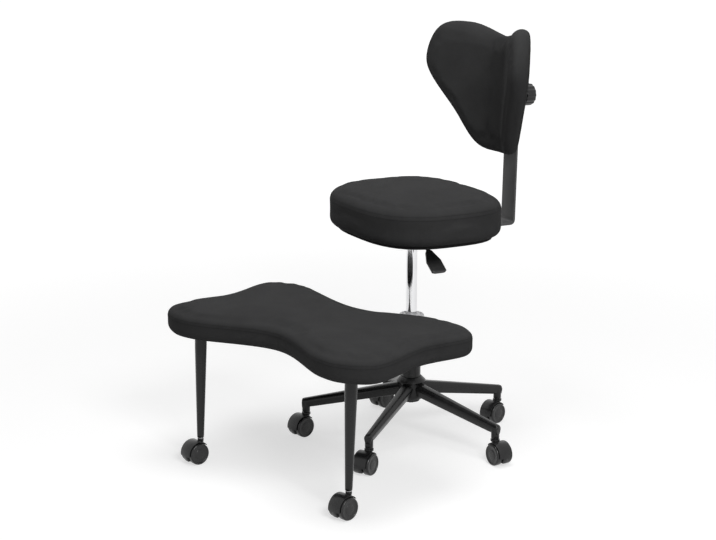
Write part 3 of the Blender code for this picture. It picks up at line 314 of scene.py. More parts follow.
def joined(name, meshes):
    """Several meshes as one."""
    work = bmesh.new()
    for mesh in meshes:
        work.from_mesh(mesh)
        bpy.data.meshes.remove(mesh)
    made = bpy.data.meshes.new(name)
    work.to_mesh(made)
    work.free()
    return made


def swept(name, path, side, outline):
    """An outline of (across, up) points carried along a path that lies square to side."""
    rings = []
    last = len(path) - 1
    for i, point in enumerate(path):
        before = (point - path[i - 1]).normalized() if i > 0 else (path[1] - point).normalized()
        after = (path[i + 1] - point).normalized() if i < last else before
        along = (before + after).normalized()
        normal = along.cross(side).normalized() / max(along.dot(after), 0.2)
        rings.append([point + side * a + normal * b for a, b in outline])
    return loft(name, rings)


def add(name, mesh, look, body, stands_for=(), place=None, sharp=38.0):
    """One piece of the object that rides on a body and may stand for CAD nodes."""
    mesh.name = name
    piece = bpy.data.objects.new(name, mesh)
    scene.collection.objects.link(piece)
    mesh.materials.clear()
    mesh.materials.append(look)
    mesh.shade_smooth()
    mesh.set_sharp_from_angle(angle=radians(sharp))
    if place is not None:
        piece.matrix_world = place
    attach(piece, body)
    if stands_for:
        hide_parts(*stands_for)
    return piece


def softened(name, look, width, segments=2, angle=30.0):
    """A copy of a CAD node with its hard edges rounded, which stands for the node."""
    work = bmesh.new()
    work.from_mesh(nodes[name].data)
    bmesh.ops.remove_doubles(work, verts=work.verts, dist=2e-6)
    bmesh.ops.dissolve_limit(work, angle_limit=radians(1.0), verts=work.verts, edges=work.edges)
    hard = [e for e in work.edges if len(e.link_faces) == 2 and e.calc_face_angle(0.0) > radians(angle)]
    bmesh.ops.bevel(
        work, geom=hard, offset=width, segments=segments, profile=0.5, affect="EDGES", clamp_overlap=True,
    )
    mesh = bpy.data.meshes.new(name)
    work.to_mesh(mesh)
    work.free()
    return add(name + "_look", mesh, look, body_of[name], (name,), sharp=34.0)


def dress(look, *names):
    """A CAD node that stays gets the look in place of its plain colour."""
    for name in names:
        mesh = nodes[name].data
        mesh.materials.clear()
        mesh.materials.append(look)


def smooth_loop(points, count):
    """Evenly spaced points along a smooth closed curve through the points given."""
    total = len(points)
    dense = []
    for i in range(total):
        p0, p1, p2, p3 = (Vector(points[(i + k - 1) % total]) for k in range(4))
        t1 = sqrt((p1 - p0).length)
        t2 = t1 + sqrt((p2 - p1).length)
        t3 = t2 + sqrt((p3 - p2).length)
        for k in range(40):
            t = t1 + (t2 - t1) * k / 40
            a1 = p0 * ((t1 - t) / t1) + p1 * (t / t1)
            a2 = p1 * ((t2 - t) / (t2 - t1)) + p2 * ((t - t1) / (t2 - t1))
            a3 = p2 * ((t3 - t) / (t3 - t2)) + p3 * ((t - t2) / (t3 - t2))
            b1 = a1 * ((t2 - t) / t2) + a2 * (t / t2)
            b2 = a2 * ((t3 - t) / (t3 - t1)) + a3 * ((t - t1) / (t3 - t1))
            dense.append(b1 * ((t2 - t) / (t2 - t1)) + b2 * ((t - t1) / (t2 - t1)))
    lengths = [0.0]
    for i in range(len(dense)):
        lengths.append(lengths[-1] + (dense[(i + 1) % len(dense)] - dense[i]).length)
    found = []
    at = 0
    for k in range(count):
        want = lengths[-1] * k / count
        while lengths[at + 1] < want:
            at += 1
        share = (want - lengths[at]) / (lengths[at + 1] - lengths[at])
        found.append(dense[at].lerp(dense[(at + 1) % len(dense)], share))
    return found


def inset(outline, distance):
    """The outline, which runs anticlockwise, moved inwards by a distance."""
    count = len(outline)
    moved = []
    for i in range(count):
        along = outline[(i + 1) % count] - outline[i - 1]
        moved.append(outline[i] + Vector((-along.y, along.x)).normalized() * distance)
    return moved


def shrunk(outline, middle, share):
    """The outline drawn in towards a point, to a share of its size."""
    return [middle + (p - middle) * share for p in outline]


def between(ends, share):
    """The value that is a share of the way from the first end to the second."""
    return ends[0] + (ends[1] - ends[0]) * share


# Floor and light
FLOOR_SHADE = 0.52
FLOOR_GLOW_NEAR = 0.62
FLOOR_GLOW_FAR = 0.92
GLOW_FROM = 0.7
GLOW_TO = 4.0
WORLD_LIGHT = 0.20
floor_mesh = mesh_from("floor", [(-60, -60, 0), (60, -60, 0), (60, 60, 0), (-60, 60, 0)], [(0, 1, 2, 3)])
floor = bpy.data.objects.new("floor", floor_mesh)
scene.collection.objects.link(floor)


def seen_rays(tree, rays):
    """One for a ray that comes from the camera, a reflection or clear material, and otherwise nought."""
    either = tree.nodes.new("ShaderNodeMath")
    either.operation = "MAXIMUM"
    tree.links.new(rays.outputs["Is Camera Ray"], either.inputs[0])
    tree.links.new(rays.outputs["Is Glossy Ray"], either.inputs[1])
    any_of = tree.nodes.new("ShaderNodeMath")
    any_of.operation = "MAXIMUM"
    tree.links.new(either.outputs["Value"], any_of.inputs[0])
    tree.links.new(rays.outputs["Is Transmission Ray"], any_of.inputs[1])
    return any_of.outputs["Value"]


def floor_look():
    """A pale floor that the camera and reflections see as near white, with the object's shadow kept."""
    made = bpy.data.materials.new("floor")
    made.use_nodes = True
    tree = made.node_tree
    shader = tree.nodes["Principled BSDF"]
    shader.inputs["Base Color"].default_value = (FLOOR_SHADE, FLOOR_SHADE, FLOOR_SHADE, 1.0)
    shader.inputs["Roughness"].default_value = 0.9
    shader.inputs["Specular IOR Level"].default_value = 0.1
    place = tree.nodes.new("ShaderNodeTexCoord")
    away = tree.nodes.new("ShaderNodeVectorMath")
    away.operation = "LENGTH"
    tree.links.new(place.outputs["Object"], away.inputs[0])
    glow = tree.nodes.new("ShaderNodeMapRange")
    glow.interpolation_type = "SMOOTHSTEP"
    glow.inputs["From Min"].default_value = GLOW_FROM
    glow.inputs["From Max"].default_value = GLOW_TO
    glow.inputs["To Min"].default_value = FLOOR_GLOW_NEAR
    glow.inputs["To Max"].default_value = FLOOR_GLOW_FAR
    tree.links.new(away.outputs["Value"], glow.inputs["Value"])
    rays = tree.nodes.new("ShaderNodeLightPath")
    level = tree.nodes.new("ShaderNodeMath")
    level.operation = "MULTIPLY"
    tree.links.new(seen_rays(tree, rays), level.inputs[0])
    tree.links.new(glow.outputs["Result"], level.inputs[1])
    shader.inputs["Emission Color"].default_value = (1.0, 1.0, 1.0, 1.0)
    tree.links.new(level.outputs["Value"], shader.inputs["Emission Strength"])
    return made


floor_mesh.materials.append(floor_look())


def studio():
    """Even white light from all round that the camera and reflections see as a plain white backdrop."""
    world = bpy.data.worlds.new("studio")
    scene.world = world
    world.use_nodes = True
    tree = world.node_tree
    background = tree.nodes["Background"]
    rays = tree.nodes.new("ShaderNodeLightPath")
    level = tree.nodes.new("ShaderNodeMapRange")
    level.inputs["To Min"].default_value = WORLD_LIGHT
    level.inputs["To Max"].default_value = 1.0
    tree.links.new(seen_rays(tree, rays), level.inputs["Value"])
    background.inputs["Color"].default_value = (1.0, 1.0, 1.0, 1.0)
    tree.links.new(level.outputs["Result"], background.inputs["Strength"])


studio()


def softbox(name, place, aim, size, power):
    """A rectangular lamp at a place, turned to a point."""
    data = bpy.data.lights.new(name, "AREA")
    data.shape = "RECTANGLE"
    data.size, data.size_y = size
    data.energy = power
    lamp = bpy.data.objects.new(name, data)
    scene.collection.objects.link(lamp)
    lamp.location = place
    lamp.rotation_euler = (Vector(aim) - Vector(place)).to_track_quat("-Z", "Y").to_euler()


MIDDLE = (0.0, 0.0, 0.5)
softbox("softbox_top", (0.3, -0.2, 3.4), MIDDLE, (1.5, 1.5), 46.0)
softbox("softbox_front", (2.8, -1.5, 2.6), MIDDLE, (1.3, 1.0), 66.0)


# Soft pieces: a cover is held near its board, and SWELL leaves room for it to be blown up
CLOTH_FRAMES = 20
COVER_REACH = 0.006
COVER_HELD = 0.012
SWELL = 0.0035
SEAM_R = 0.0009
STITCH_HALF = 0.0017
STITCH_R = 0.00045
STITCH_AWAY = 0.0028
STITCH_PITCH = 0.0048
SIDE_DRAW = 0.0005


def settle(piece, pinned):
    """Blows the cover up a little over its filling: each point goes straight out, by COVER_REACH at most."""
    mesh = piece.data
    start = np.empty(len(mesh.vertices) * 3)
    mesh.vertices.foreach_get("co", start)
    start = start.reshape(-1, 3)
    held = piece.vertex_groups.new(name="held")
    held.add([i for i, p in enumerate(start) if pinned(p)], 1.0, "REPLACE")
    cloth = piece.modifiers.new("cloth", "CLOTH")
    cloth.settings.quality = 4
    cloth.settings.mass = 0.25
    cloth.settings.tension_stiffness = 18.0
    cloth.settings.compression_stiffness = 18.0
    cloth.settings.bending_stiffness = 1.2
    cloth.settings.use_pressure = True
    cloth.settings.uniform_pressure_force = 4.0
    cloth.settings.effector_weights.gravity = 0.0
    cloth.settings.vertex_group_mass = "held"
    cloth.point_cache.frame_start = 1
    cloth.point_cache.frame_end = CLOTH_FRAMES
    for step in range(1, CLOTH_FRAMES + 1):
        scene.frame_set(step)
    blown = piece.evaluated_get(bpy.context.evaluated_depsgraph_get()).to_mesh()
    end = np.empty(len(blown.vertices) * 3)
    blown.vertices.foreach_get("co", end)
    end = end.reshape(-1, 3)
    piece.evaluated_get(bpy.context.evaluated_depsgraph_get()).to_mesh_clear()
    piece.modifiers.remove(cloth)
    piece.vertex_groups.remove(held)
    scene.frame_set(1)
    out = np.empty(len(mesh.vertices) * 3)
    mesh.vertices.foreach_get("normal", out)
    out = out.reshape(-1, 3)
    swelled = np.clip(np.sum((end - start) * out, axis=1, keepdims=True), 0.0, COVER_REACH)
    mesh.vertices.foreach_set("co", (start + out * swelled).ravel())
    mesh.update()


def evened(mesh, times):
    """Evens out small steps in a fine mesh without shrinking it: each step in is followed by a step out."""
    count = len(mesh.vertices)
    points = np.empty(count * 3)
    mesh.vertices.foreach_get("co", points)
    points = points.reshape(-1, 3)
    ends = np.empty(len(mesh.edges) * 2, dtype=np.int32)
    mesh.edges.foreach_get("vertices", ends)
    first, second = ends.reshape(-1, 2).T
    near = np.bincount(ends, minlength=count)
    for share in (0.5, -0.52) * times:
        for axis in range(3):
            here = points[:, axis]
            total = np.bincount(first, here[second], count) + np.bincount(second, here[first], count)
            points[:, axis] = here + share * (total / near - here)
    mesh.vertices.foreach_set("co", points.ravel())
    mesh.update()


def cushion(name, mesh, node, pinned):
    """A padded piece from its sewn shape: remeshed evenly, blown up over its filling and divided once."""
    piece = add(name, mesh, UPHOLSTERY, body_of[node], (node,), sharp=180.0)
    mesh.remesh_voxel_size = 0.005
    mesh.remesh_voxel_adaptivity = 0.0
    bpy.context.view_layer.objects.active = piece
    piece.select_set(True)
    bpy.ops.object.voxel_remesh()
    piece.select_set(False)
    evened(piece.data, 8)
    settle(piece, pinned)
    evened(piece.data, 10)
    divided = piece.modifiers.new("divided", "SUBSURF")
    divided.levels = 1
    divided.render_levels = 1
    bpy.context.view_layer.update()
    fine = bpy.data.meshes.new_from_object(piece.evaluated_get(bpy.context.evaluated_depsgraph_get()))
    piece.modifiers.remove(divided)
    fine.name = name
    piece.data = fine
    piece.data.shade_smooth()
    return piece


def on_surface(piece, path):
    """The points of a path brought onto a piece, each with the way out of it."""
    corners = [v.co for v in piece.data.vertices]
    tree = BVHTree.FromPolygons(corners, [list(p.vertices) for p in piece.data.polygons])
    found = []
    for p in path:
        spot, normal, _, _ = tree.find_nearest(Vector(p))
        found.append((spot, normal))
    count = len(found)
    even = []
    for i in range(count):
        near = [found[(i + k) % count] for k in (-2, -1, 0, 1, 2)]
        even.append((found[i][0], sum((n for _, n in near), Vector()).normalized()))
    return even


def seam(name, cover, path, body):
    """A sewn seam round a cushion: a narrow welt sunk into the cover, and stitches on each side of it."""
    spots = on_surface(cover, path)
    count = len(spots)
    rings = []
    for i, (spot, normal) in enumerate(spots):
        along = (spots[(i + 1) % count][0] - spots[i - 1][0]).normalized()
        side = along.cross(normal).normalized()
        middle = spot - normal * (SEAM_R * 0.45)
        rings.append([
            middle + side * (SEAM_R * 1.5 * cos(2 * pi * k / 6)) + normal * (SEAM_R * sin(2 * pi * k / 6))
            for k in range(6)
        ])
    shapes = [loft(name, rings, closed=True)]
    lengths = [0.0]
    for i in range(count):
        lengths.append(lengths[-1] + (spots[(i + 1) % count][0] - spots[i][0]).length)
    total = round(lengths[-1] / STITCH_PITCH)
    at = 0
    points = []
    faces = []
    for k in range(total):
        want = lengths[-1] * (k + 0.5) / total
        while lengths[at + 1] < want:
            at += 1
        share = (want - lengths[at]) / (lengths[at + 1] - lengths[at])
        spot = spots[at][0].lerp(spots[(at + 1) % count][0], share)
        normal = spots[at][1].lerp(spots[(at + 1) % count][1], share).normalized()
        along = (spots[(at + 1) % count][0] - spots[at][0]).normalized()
        side = along.cross(normal).normalized()
        for way in (-1, 1):
            middle = spot + side * (way * STITCH_AWAY) - normal * (STITCH_R * 0.3)
            first = len(points)
            for reach, grow in ((-1.0, 0.35), (-0.6, 1.0), (0.6, 1.0), (1.0, 0.35)):
                for a, b in ((-1, 0), (0, 1), (1, 0), (0, -1)):
                    dip = normal * (STITCH_R * (0.8 * grow - 0.8))
                    points.append(
                        middle + along * (reach * STITCH_HALF) + side * (a * STITCH_R * grow)
                        + normal * (b * STITCH_R * grow) + dip
                    )
            for row in range(3):
                for c in range(4):
                    a, b = first + row * 4 + c, first + row * 4 + (c + 1) % 4
                    faces.append((a, b, b + 4, a + 4))
            faces.append((first, first + 1, first + 2, first + 3))
            faces.append((first + 12, first + 13, first + 14, first + 15))
    shapes.append(mesh_from(name, points, faces))
    return add(name, joined(name, shapes), THREAD, body, sharp=60.0)


def pad_rings(outline, board_inset, middle, bottom, ceiling, top, crown, edge, under):
    """The rings of a boxed cushion: a pocket for the board, rolled edges, drawn-in sides, a crowned top."""
    pocket = inset(outline, board_inset - GAP)
    rings = [
        (shrunk(pocket, middle, 0.25), ceiling), (shrunk(pocket, middle, 0.65), ceiling), (pocket, ceiling),
        (pocket, bottom), (inset(outline, under), bottom),
    ]
    for k in range(1, 6):
        angle = pi / 2 * k / 6
        rings.append((inset(outline, under * (1 - sin(angle))), bottom + under * (1 - cos(angle))))
    low, high = bottom + under, top - edge
    for k in range(0, 7):
        share = k / 6
        rings.append((inset(outline, SIDE_DRAW * sin(pi * share)), low + (high - low) * share))
    for k in range(1, 7):
        angle = pi / 2 * k / 6
        rings.append((inset(outline, edge * (1 - cos(angle))), high + edge * sin(angle)))
    brim = inset(outline, edge)
    for share in (0.95, 0.88, 0.78, 0.66, 0.52, 0.38, 0.24, 0.10):
        rings.append((shrunk(brim, middle, share), top + crown * (1 - share ** 2.2)))
    return rings


def pad_path(outline, edge, top, angle):
    """A line round a boxed cushion on its rolled top edge, at an angle up the roll in degrees."""
    turn = radians(angle)
    return [(p.x, p.y, top - edge + edge * sin(turn)) for p in inset(outline, edge * (1 - cos(turn)))]


def placed(frame_matrix, rings):
    """Level rings, each an outline and its height, moved into a frame."""
    return [[frame_matrix @ Vector((p.x, p.y, z)) for p in outline] for outline, z in rings]


# Seat cushion
SEAT_A = 0.2304
SEAT_B = 0.1892
SEAT_POWER = 2.815
SEAT_SHIFT = 0.0055
SEAT_BOTTOM = 0.5670
SEAT_TOP = 0.6631
SEAT_CROWN = 0.0129
SEAT_EDGE = 0.0280
SEAT_UNDER = 0.0197
SEAT_BOARD_Z = 0.559
SEAT_BOARD = 0.012
SEAT_BOARD_INSET = 0.022


def square_round(half_x, half_y, power, shift, count):
    """A square outline with full round corners."""
    found = []
    for k in range(count):
        angle = 2 * pi * k / count
        c, s = cos(angle), sin(angle)
        x = half_x * abs(c) ** (2 / power) * (1 if c > 0 else -1)
        y = half_y * abs(s) ** (2 / power) * (1 if s > 0 else -1)
        found.append((x, y + shift))
    return smooth_loop(found, count)


seat_outline = square_round(SEAT_A, SEAT_B, SEAT_POWER, SEAT_SHIFT, 144)
seat_rings = pad_rings(
    seat_outline, SEAT_BOARD_INSET, Vector((0.0, SEAT_SHIFT)), SEAT_BOTTOM, SEAT_BOARD_Z + SEAT_BOARD + GAP,
    SEAT_TOP - SWELL, SEAT_CROWN, SEAT_EDGE, SEAT_UNDER,
)
seat_cover = cushion(
    "seat_cover", loft("seat_cover", placed(SEAT_FRAME, seat_rings)), "seat_cushion",
    lambda p: p[2] < SEAT_BOTTOM + COVER_HELD,
)
for label, angle in (("upper", 25.0), ("lower", 6.0)):
    line = [SEAT_FRAME @ Vector(p) for p in pad_path(seat_outline, SEAT_EDGE, SEAT_TOP - SWELL, angle)]
    seam("seat_seam_" + label, seat_cover, line, "seat")

# Footrest cushion
FOOT_BOTTOM = 0.3383
FOOT_TOP = 0.4007
FOOT_CROWN = 0.008
FOOT_EDGE = 0.019
FOOT_UNDER = 0.021
FOOT_BOARD_TOP = 0.349
FOOT_BOARD_INSET = 0.030
FOOT_MIDDLE = Vector((0.0, -0.345))
FOOT_REAR_DIP = (0.0, -0.1962)
FOOT_HALF = [
    (0.0, -0.4897), (0.2220, -0.5651), (0.2920, -0.5635), (0.3585, -0.5113), (0.3418, -0.3295),
    (0.3620, -0.1874), (0.3095, -0.1435), (0.2500, -0.1356),
]
foot_loop = FOOT_HALF + [FOOT_REAR_DIP] + [(-x, y) for x, y in FOOT_HALF[:0:-1]]
foot_outline = smooth_loop(foot_loop, 192)
foot_rings = pad_rings(
    foot_outline, FOOT_BOARD_INSET, FOOT_MIDDLE, FOOT_BOTTOM, FOOT_BOARD_TOP + GAP,
    FOOT_TOP - SWELL, FOOT_CROWN, FOOT_EDGE, FOOT_UNDER,
)
foot_cover = cushion(
    "footrest_cover", loft("footrest_cover", placed(AT_COLUMN, foot_rings)), "footrest_cushion",
    lambda p: p[2] < FOOT_BOTTOM + COVER_HELD,
)
for label, angle in (("upper", 24.0), ("lower", 3.0)):
    line = [AT_COLUMN @ Vector(p) for p in pad_path(foot_outline, FOOT_EDGE, FOOT_TOP - SWELL, angle)]
    seam("footrest_seam_" + label, foot_cover, line, "footrest")

# Back cushion
BAR_R = 0.2929
BAR_T = 0.006
BAR_W = 0.0595
BAR_MIDDLE_Z = SEAT_BOARD_Z - GAP - BAR_T / 2
LEAN = radians(1.25)
BACK_FRAME = SEAT_FRAME @ Matrix.Translation((0.0, BAR_R, BAR_MIDDLE_Z)) @ Matrix.Rotation(-LEAN, 4, "X")
BRACKET_WALL = 0.004
BOARD_REAR_Y = -(BAR_T / 2 + RUN + BRACKET_WALL) - GAP
TILT = radians(1.64)
BACK_BOARD = 0.008
BACK_BOARD_INSET = 0.0164
BACK_HALF = [
    (0.0, 0.7436), (0.0705, 0.7505), (0.1376, 0.8352), (0.2215, 0.9600), (0.1885, 1.0610),
    (0.1205, 1.0725),
]
BACK_NOTCH = (-0.010, 1.0450)
BACK_MIDDLE = Vector((0.0, 0.900 - BAR_MIDDLE_Z))
TILT_AXIS = Matrix.Translation((0.0, BOARD_REAR_Y, BACK_MIDDLE.y))
PAD_FRAME = BACK_FRAME @ TILT_AXIS @ Matrix.Rotation(-TILT, 4, "X") @ TILT_AXIS.inverted()
BACK_WIDEST = 0.3543
BACK_NOTCH_WIDEST = 0.65
BACK_NOTCH_REACH = 0.090
BACK_FLAT = 0.032
BACK_REACH = 0.200
BACK_WRAP = 0.0811
BACK_WRAP_POWER = 1.1762
BACK_THICK = 0.0433
BACK_SWELL = 0.0158
BACK_SWELL_AT = 0.1541
BACK_HELD = 0.011
# The cover rolls over a rounder edge than the solid has
BACK_EDGE = 0.028
BACK_REAR_EDGE = 0.0145
back_loop = BACK_HALF + [BACK_NOTCH] + [(-x, z) for x, z in BACK_HALF[:0:-1]]
back_outline = smooth_loop([(x, z - BAR_MIDDLE_Z) for x, z in back_loop], 160)


def wrap(side):
    """How far the back reaches forward at a distance from its middle line."""
    past = (abs(side) - BACK_FLAT) / (BACK_REACH - BACK_FLAT)
    return BACK_WRAP * past ** BACK_WRAP_POWER if past > 0 else 0.0


def thickness(side):
    """The back's thickness with its board: thin at the valley, full on the lobes."""
    return BACK_THICK - SWELL + BACK_SWELL * sin(min(1.0, abs(side) / BACK_SWELL_AT) * pi / 2) ** 2


def widest(side):
    """Where the roll of the edge is widest, as a share of the thickness: further ahead at the notch."""
    near = cos(min(1.0, abs(side) / BACK_NOTCH_REACH) * pi / 2) ** 2
    return BACK_WIDEST + (BACK_NOTCH_WIDEST - BACK_WIDEST) * near


def wrapped(outline, depth):
    """The ring of an outline at a depth in front of the board's rear face: a number, or one for each side."""
    ring = []
    for p in outline:
        ahead = depth(p.x) if callable(depth) else depth
        ring.append(PAD_FRAME @ Vector((p.x, BOARD_REAR_Y - wrap(p.x) - ahead, p.y)))
    return ring


def rear_roll(angle):
    """The ring on the edge's roll behind its widest line, at an angle in radians from the rear face."""
    around = inset(back_outline, BACK_REAR_EDGE * (1 - sin(angle)))
    rear = 2 * GAP
    return wrapped(around, lambda side: rear + (thickness(side) * widest(side) - rear) * (1 - cos(angle)))


def front_roll(angle):
    """The ring on the edge's roll in front of its widest line, at an angle in radians from that line."""
    around = inset(back_outline, BACK_EDGE * (1 - cos(angle)))
    return wrapped(around, lambda side: thickness(side) * (widest(side) + (1 - widest(side)) * sin(angle)))


def back_rings():
    """The rings of the back's cover, from the pocket for its board to the middle of its front."""
    pocket = inset(back_outline, BACK_BOARD_INSET - GAP)
    front = inset(back_outline, BACK_EDGE)
    bed = BACK_BOARD + GAP
    rings = []
    for share in (0.15, 0.35, 0.55, 0.75, 0.9, 1.0):
        rings.append(wrapped(shrunk(pocket, BACK_MIDDLE, share), bed))
    rings.append(wrapped(pocket, 2 * GAP))
    rings += [rear_roll(pi / 2 * k / 6) for k in range(7)]
    rings += [front_roll(pi / 2 * k / 10) for k in range(1, 11)]
    for share in (0.92, 0.82, 0.70, 0.58, 0.46, 0.34, 0.22, 0.10):
        rings.append(wrapped(shrunk(front, BACK_MIDDLE, share), thickness))
    return rings


into_back = PAD_FRAME.inverted()


def behind(p):
    """True for a point near the board, where the cover is held."""
    local = into_back @ Vector(p)
    return BOARD_REAR_Y - wrap(local.x) - local.y < BACK_HELD


back_cover = cushion("back_cover", loft("back_cover", back_rings()), "back_cushion", behind)
seam("back_seam", back_cover, rear_roll(pi / 4), "back")

# Boards covered underneath and behind with thin black lining cloth
dress(LINING, "seat_board", "footrest_board", "back_board")

# Casters
WHEEL_R = 0.0275
WHEEL_IN = 0.00735
WHEEL_OUT = 0.02385
TRAIL = 0.018
SHELL_IN = 0.0295
SHELL_OUT = 0.0313
HOOD_WEB = 0.0135
HOOD_SPAN = 0.038
NECK_TOP = 0.0615
STEM_R = 0.005
STEM_TOP = 0.084
COLLAR_R = 0.0072
SOCKET_BOTTOM = 0.0640
STAR_NECK_R = 0.0118
LEG_NECK_R = 0.0078


def wheel_mesh():
    """A twin caster's wheel along +Y: a rounded tread, a stepped rim, a dished face and a domed cap."""
    profile = [
        (0.0, WHEEL_IN), (0.0225, WHEEL_IN), (0.0237, WHEEL_IN + 0.0008), (WHEEL_R, WHEEL_IN + 0.0012),
        (WHEEL_R, WHEEL_OUT - 0.0030), (0.0261, WHEEL_OUT - 0.0008), (0.0239, WHEEL_OUT),
        (0.0223, WHEEL_OUT), (0.0215, WHEEL_OUT - 0.0016), (0.0135, WHEEL_OUT - 0.0021),
        (0.0126, WHEEL_OUT - 0.0010), (0.0072, WHEEL_OUT - 0.0006), (0.0, WHEEL_OUT - 0.0004),
    ]
    mesh = turned("wheel", profile, sides=48, cut=0.0007, steps=2)
    mesh.transform(Matrix.Rotation(-pi / 2, 4, "X"))
    return mesh


def arc(radius, start, end, steps):
    """Points round the wheels' axle in side view, between two angles in degrees."""
    found = []
    for k in range(steps + 1):
        angle = radians(start + (end - start) * k / steps)
        found.append(Vector((TRAIL + radius * cos(angle), WHEEL_R + radius * sin(angle))))
    return found


def slab(name, outline, half, cut):
    """A side-view outline of (x, z) given a width along Y, with its rim eased."""
    middle = sum(outline, Vector((0.0, 0.0))) / len(outline)
    rings = []
    for y, inward in ((-half, cut), (cut * 0.35 - half, cut * 0.3), (cut - half, 0.0),
                      (half - cut, 0.0), (half - cut * 0.35, cut * 0.3), (half, cut)):
        ring = []
        for p in outline:
            away = (p - middle).normalized() * inward
            ring.append((p.x - away.x, y, p.y - away.y))
        rings.append(ring)
    return loft(name, rings)


def shell_mesh():
    """The curved cover over the wheels, with a rolled rim along both sides."""
    half = HOOD_SPAN / 2
    section = eased([
        (SHELL_IN, -half), (SHELL_OUT, -half), (SHELL_OUT, half), (SHELL_IN, half),
    ], 0.0006, 2, closed=True)
    rings = []
    for k in range(29):
        angle = radians(-8.0 + 148.0 * k / 28)
        rings.append([(TRAIL + p.x * cos(angle), p.y, WHEEL_R + p.x * sin(angle)) for p in section])
    return loft("shell", rings)


def hood_mesh(neck_r):
    """A caster's body: the web between the wheels, the cover, and the neck round the stem."""
    web = slab("web", arc(SHELL_OUT - 0.0002, -36.0, 216.0, 40), HOOD_WEB / 2, 0.0008)
    foot = WHEEL_R + sqrt(SHELL_IN ** 2 - (TRAIL - neck_r) ** 2)
    root_r = neck_r * 0.94
    neck = turned("neck", [
        (0.0, 0.040), (root_r, 0.040), (root_r, foot - 0.0012), (neck_r, foot + 0.0004),
        (neck_r, NECK_TOP), (STEM_R + RUN, NECK_TOP), (STEM_R + RUN, NECK_TOP - 0.006),
        (0.0, NECK_TOP - 0.006),
    ], sides=36, cut=0.0009)
    for v in neck.vertices:
        if v.co.z < foot - 0.0008 and v.co.xy.length > STEM_R + 2 * RUN:
            v.co.y *= 0.0064 / root_r
    bolt_end = WHEEL_OUT - 0.004
    bolt = turned("bolt", [
        (0.0, -bolt_end), (0.004, -bolt_end), (0.004, bolt_end), (0.0, bolt_end),
    ], sides=20)
    bolt.transform(Matrix.Translation((TRAIL, 0.0, WHEEL_R)) @ Matrix.Rotation(pi / 2, 4, "X"))
    return joined("hood", [web, shell_mesh(), neck, bolt])


def stem_mesh():
    """A caster's stem, with a collar between the hood's neck and the socket."""
    return turned("stem", [
        (0.0, NECK_TOP - 0.005), (STEM_R, NECK_TOP - 0.005), (STEM_R, NECK_TOP + GAP),
        (COLLAR_R, NECK_TOP + GAP), (COLLAR_R, NECK_TOP + 0.0019), (STEM_R, NECK_TOP + 0.0019),
        (STEM_R, STEM_TOP), (0.0, STEM_TOP),
    ], sides=28, cut=0.0004)


WHEEL_MESH = wheel_mesh()
STAR_HOOD = hood_mesh(STAR_NECK_R)
LEG_HOOD = hood_mesh(LEG_NECK_R)
STEM_MESH = stem_mesh()
joints = {j["name"]: j for j in frame["joints"]}
for k in range(1, 8):
    stem_at = Vector(joints[f"caster_{k}_swivel"]["pos_m"])
    axle_at = Vector(joints[f"wheel_{k}a_roll"]["pos_m"])
    trail = axle_at - stem_at
    heading = Matrix.Rotation(Vector((trail.x, trail.y)).angle_signed(Vector((1.0, 0.0))), 4, "Z")
    spot = Matrix.Translation((stem_at.x, stem_at.y, 0.0)) @ heading
    if k < 6:
        stem_body, stem_look, hood = "base", DARK_STEEL, STAR_HOOD
    else:
        stem_body, stem_look, hood = "footrest", STEEL, LEG_HOOD
    add(f"caster_stem_{k}", STEM_MESH.copy(), stem_look, stem_body, (f"stem_{k}",), spot)
    add(
        f"caster_hood_{k}", hood.copy(), BLACK_PLASTIC, f"caster_{k}", (f"hood_{k}",),
        spot,
    )
    centre = spot @ Matrix.Translation((TRAIL, 0.0, WHEEL_R))
    other = centre @ Matrix.Rotation(pi, 4, "Z")
    for side, place in (("a", centre), ("b", other)):
        add(
            f"caster_wheel_{k}{side}", WHEEL_MESH.copy(), TREAD, f"roller_{k}{side}", (f"wheel_{k}{side}",),
            place,
        )

# Star base
STAR_R = 0.2787
HUB_R = 0.034
ARM_END = STAR_R + 0.0105
ARM_WALL = 0.0032
ARM_WIDTH = (0.036, 0.0215)
ARM_TOP = (0.154, 0.0988)
ARM_DEPTH = (0.033, 0.025)
ARM_RIDGE = 0.52
ARM_BELLY = 0.62
FIRST_ARM = 218.4


def arm_outline(share):
    """One section of an arm as (across, up) corners: a ridge, shoulders, a belly and a channel below."""
    half = between(ARM_WIDTH, share) / 2
    top = between(ARM_TOP, share)
    deep = between(ARM_DEPTH, share)
    shoulder = top - deep * 0.34
    low = top - deep
    belly = half * ARM_BELLY
    inner = belly - ARM_WALL
    roof = top - ARM_WALL
    ridge = half * ARM_RIDGE
    inner_ridge = inner * ARM_RIDGE
    return [
        (-belly, low), (-half, shoulder), (-ridge, top), (ridge, top), (half, shoulder), (belly, low),
        (inner, low), (inner, shoulder), (inner_ridge, roof), (-inner_ridge, roof), (-inner, shoulder),
        (-inner, low),
    ]


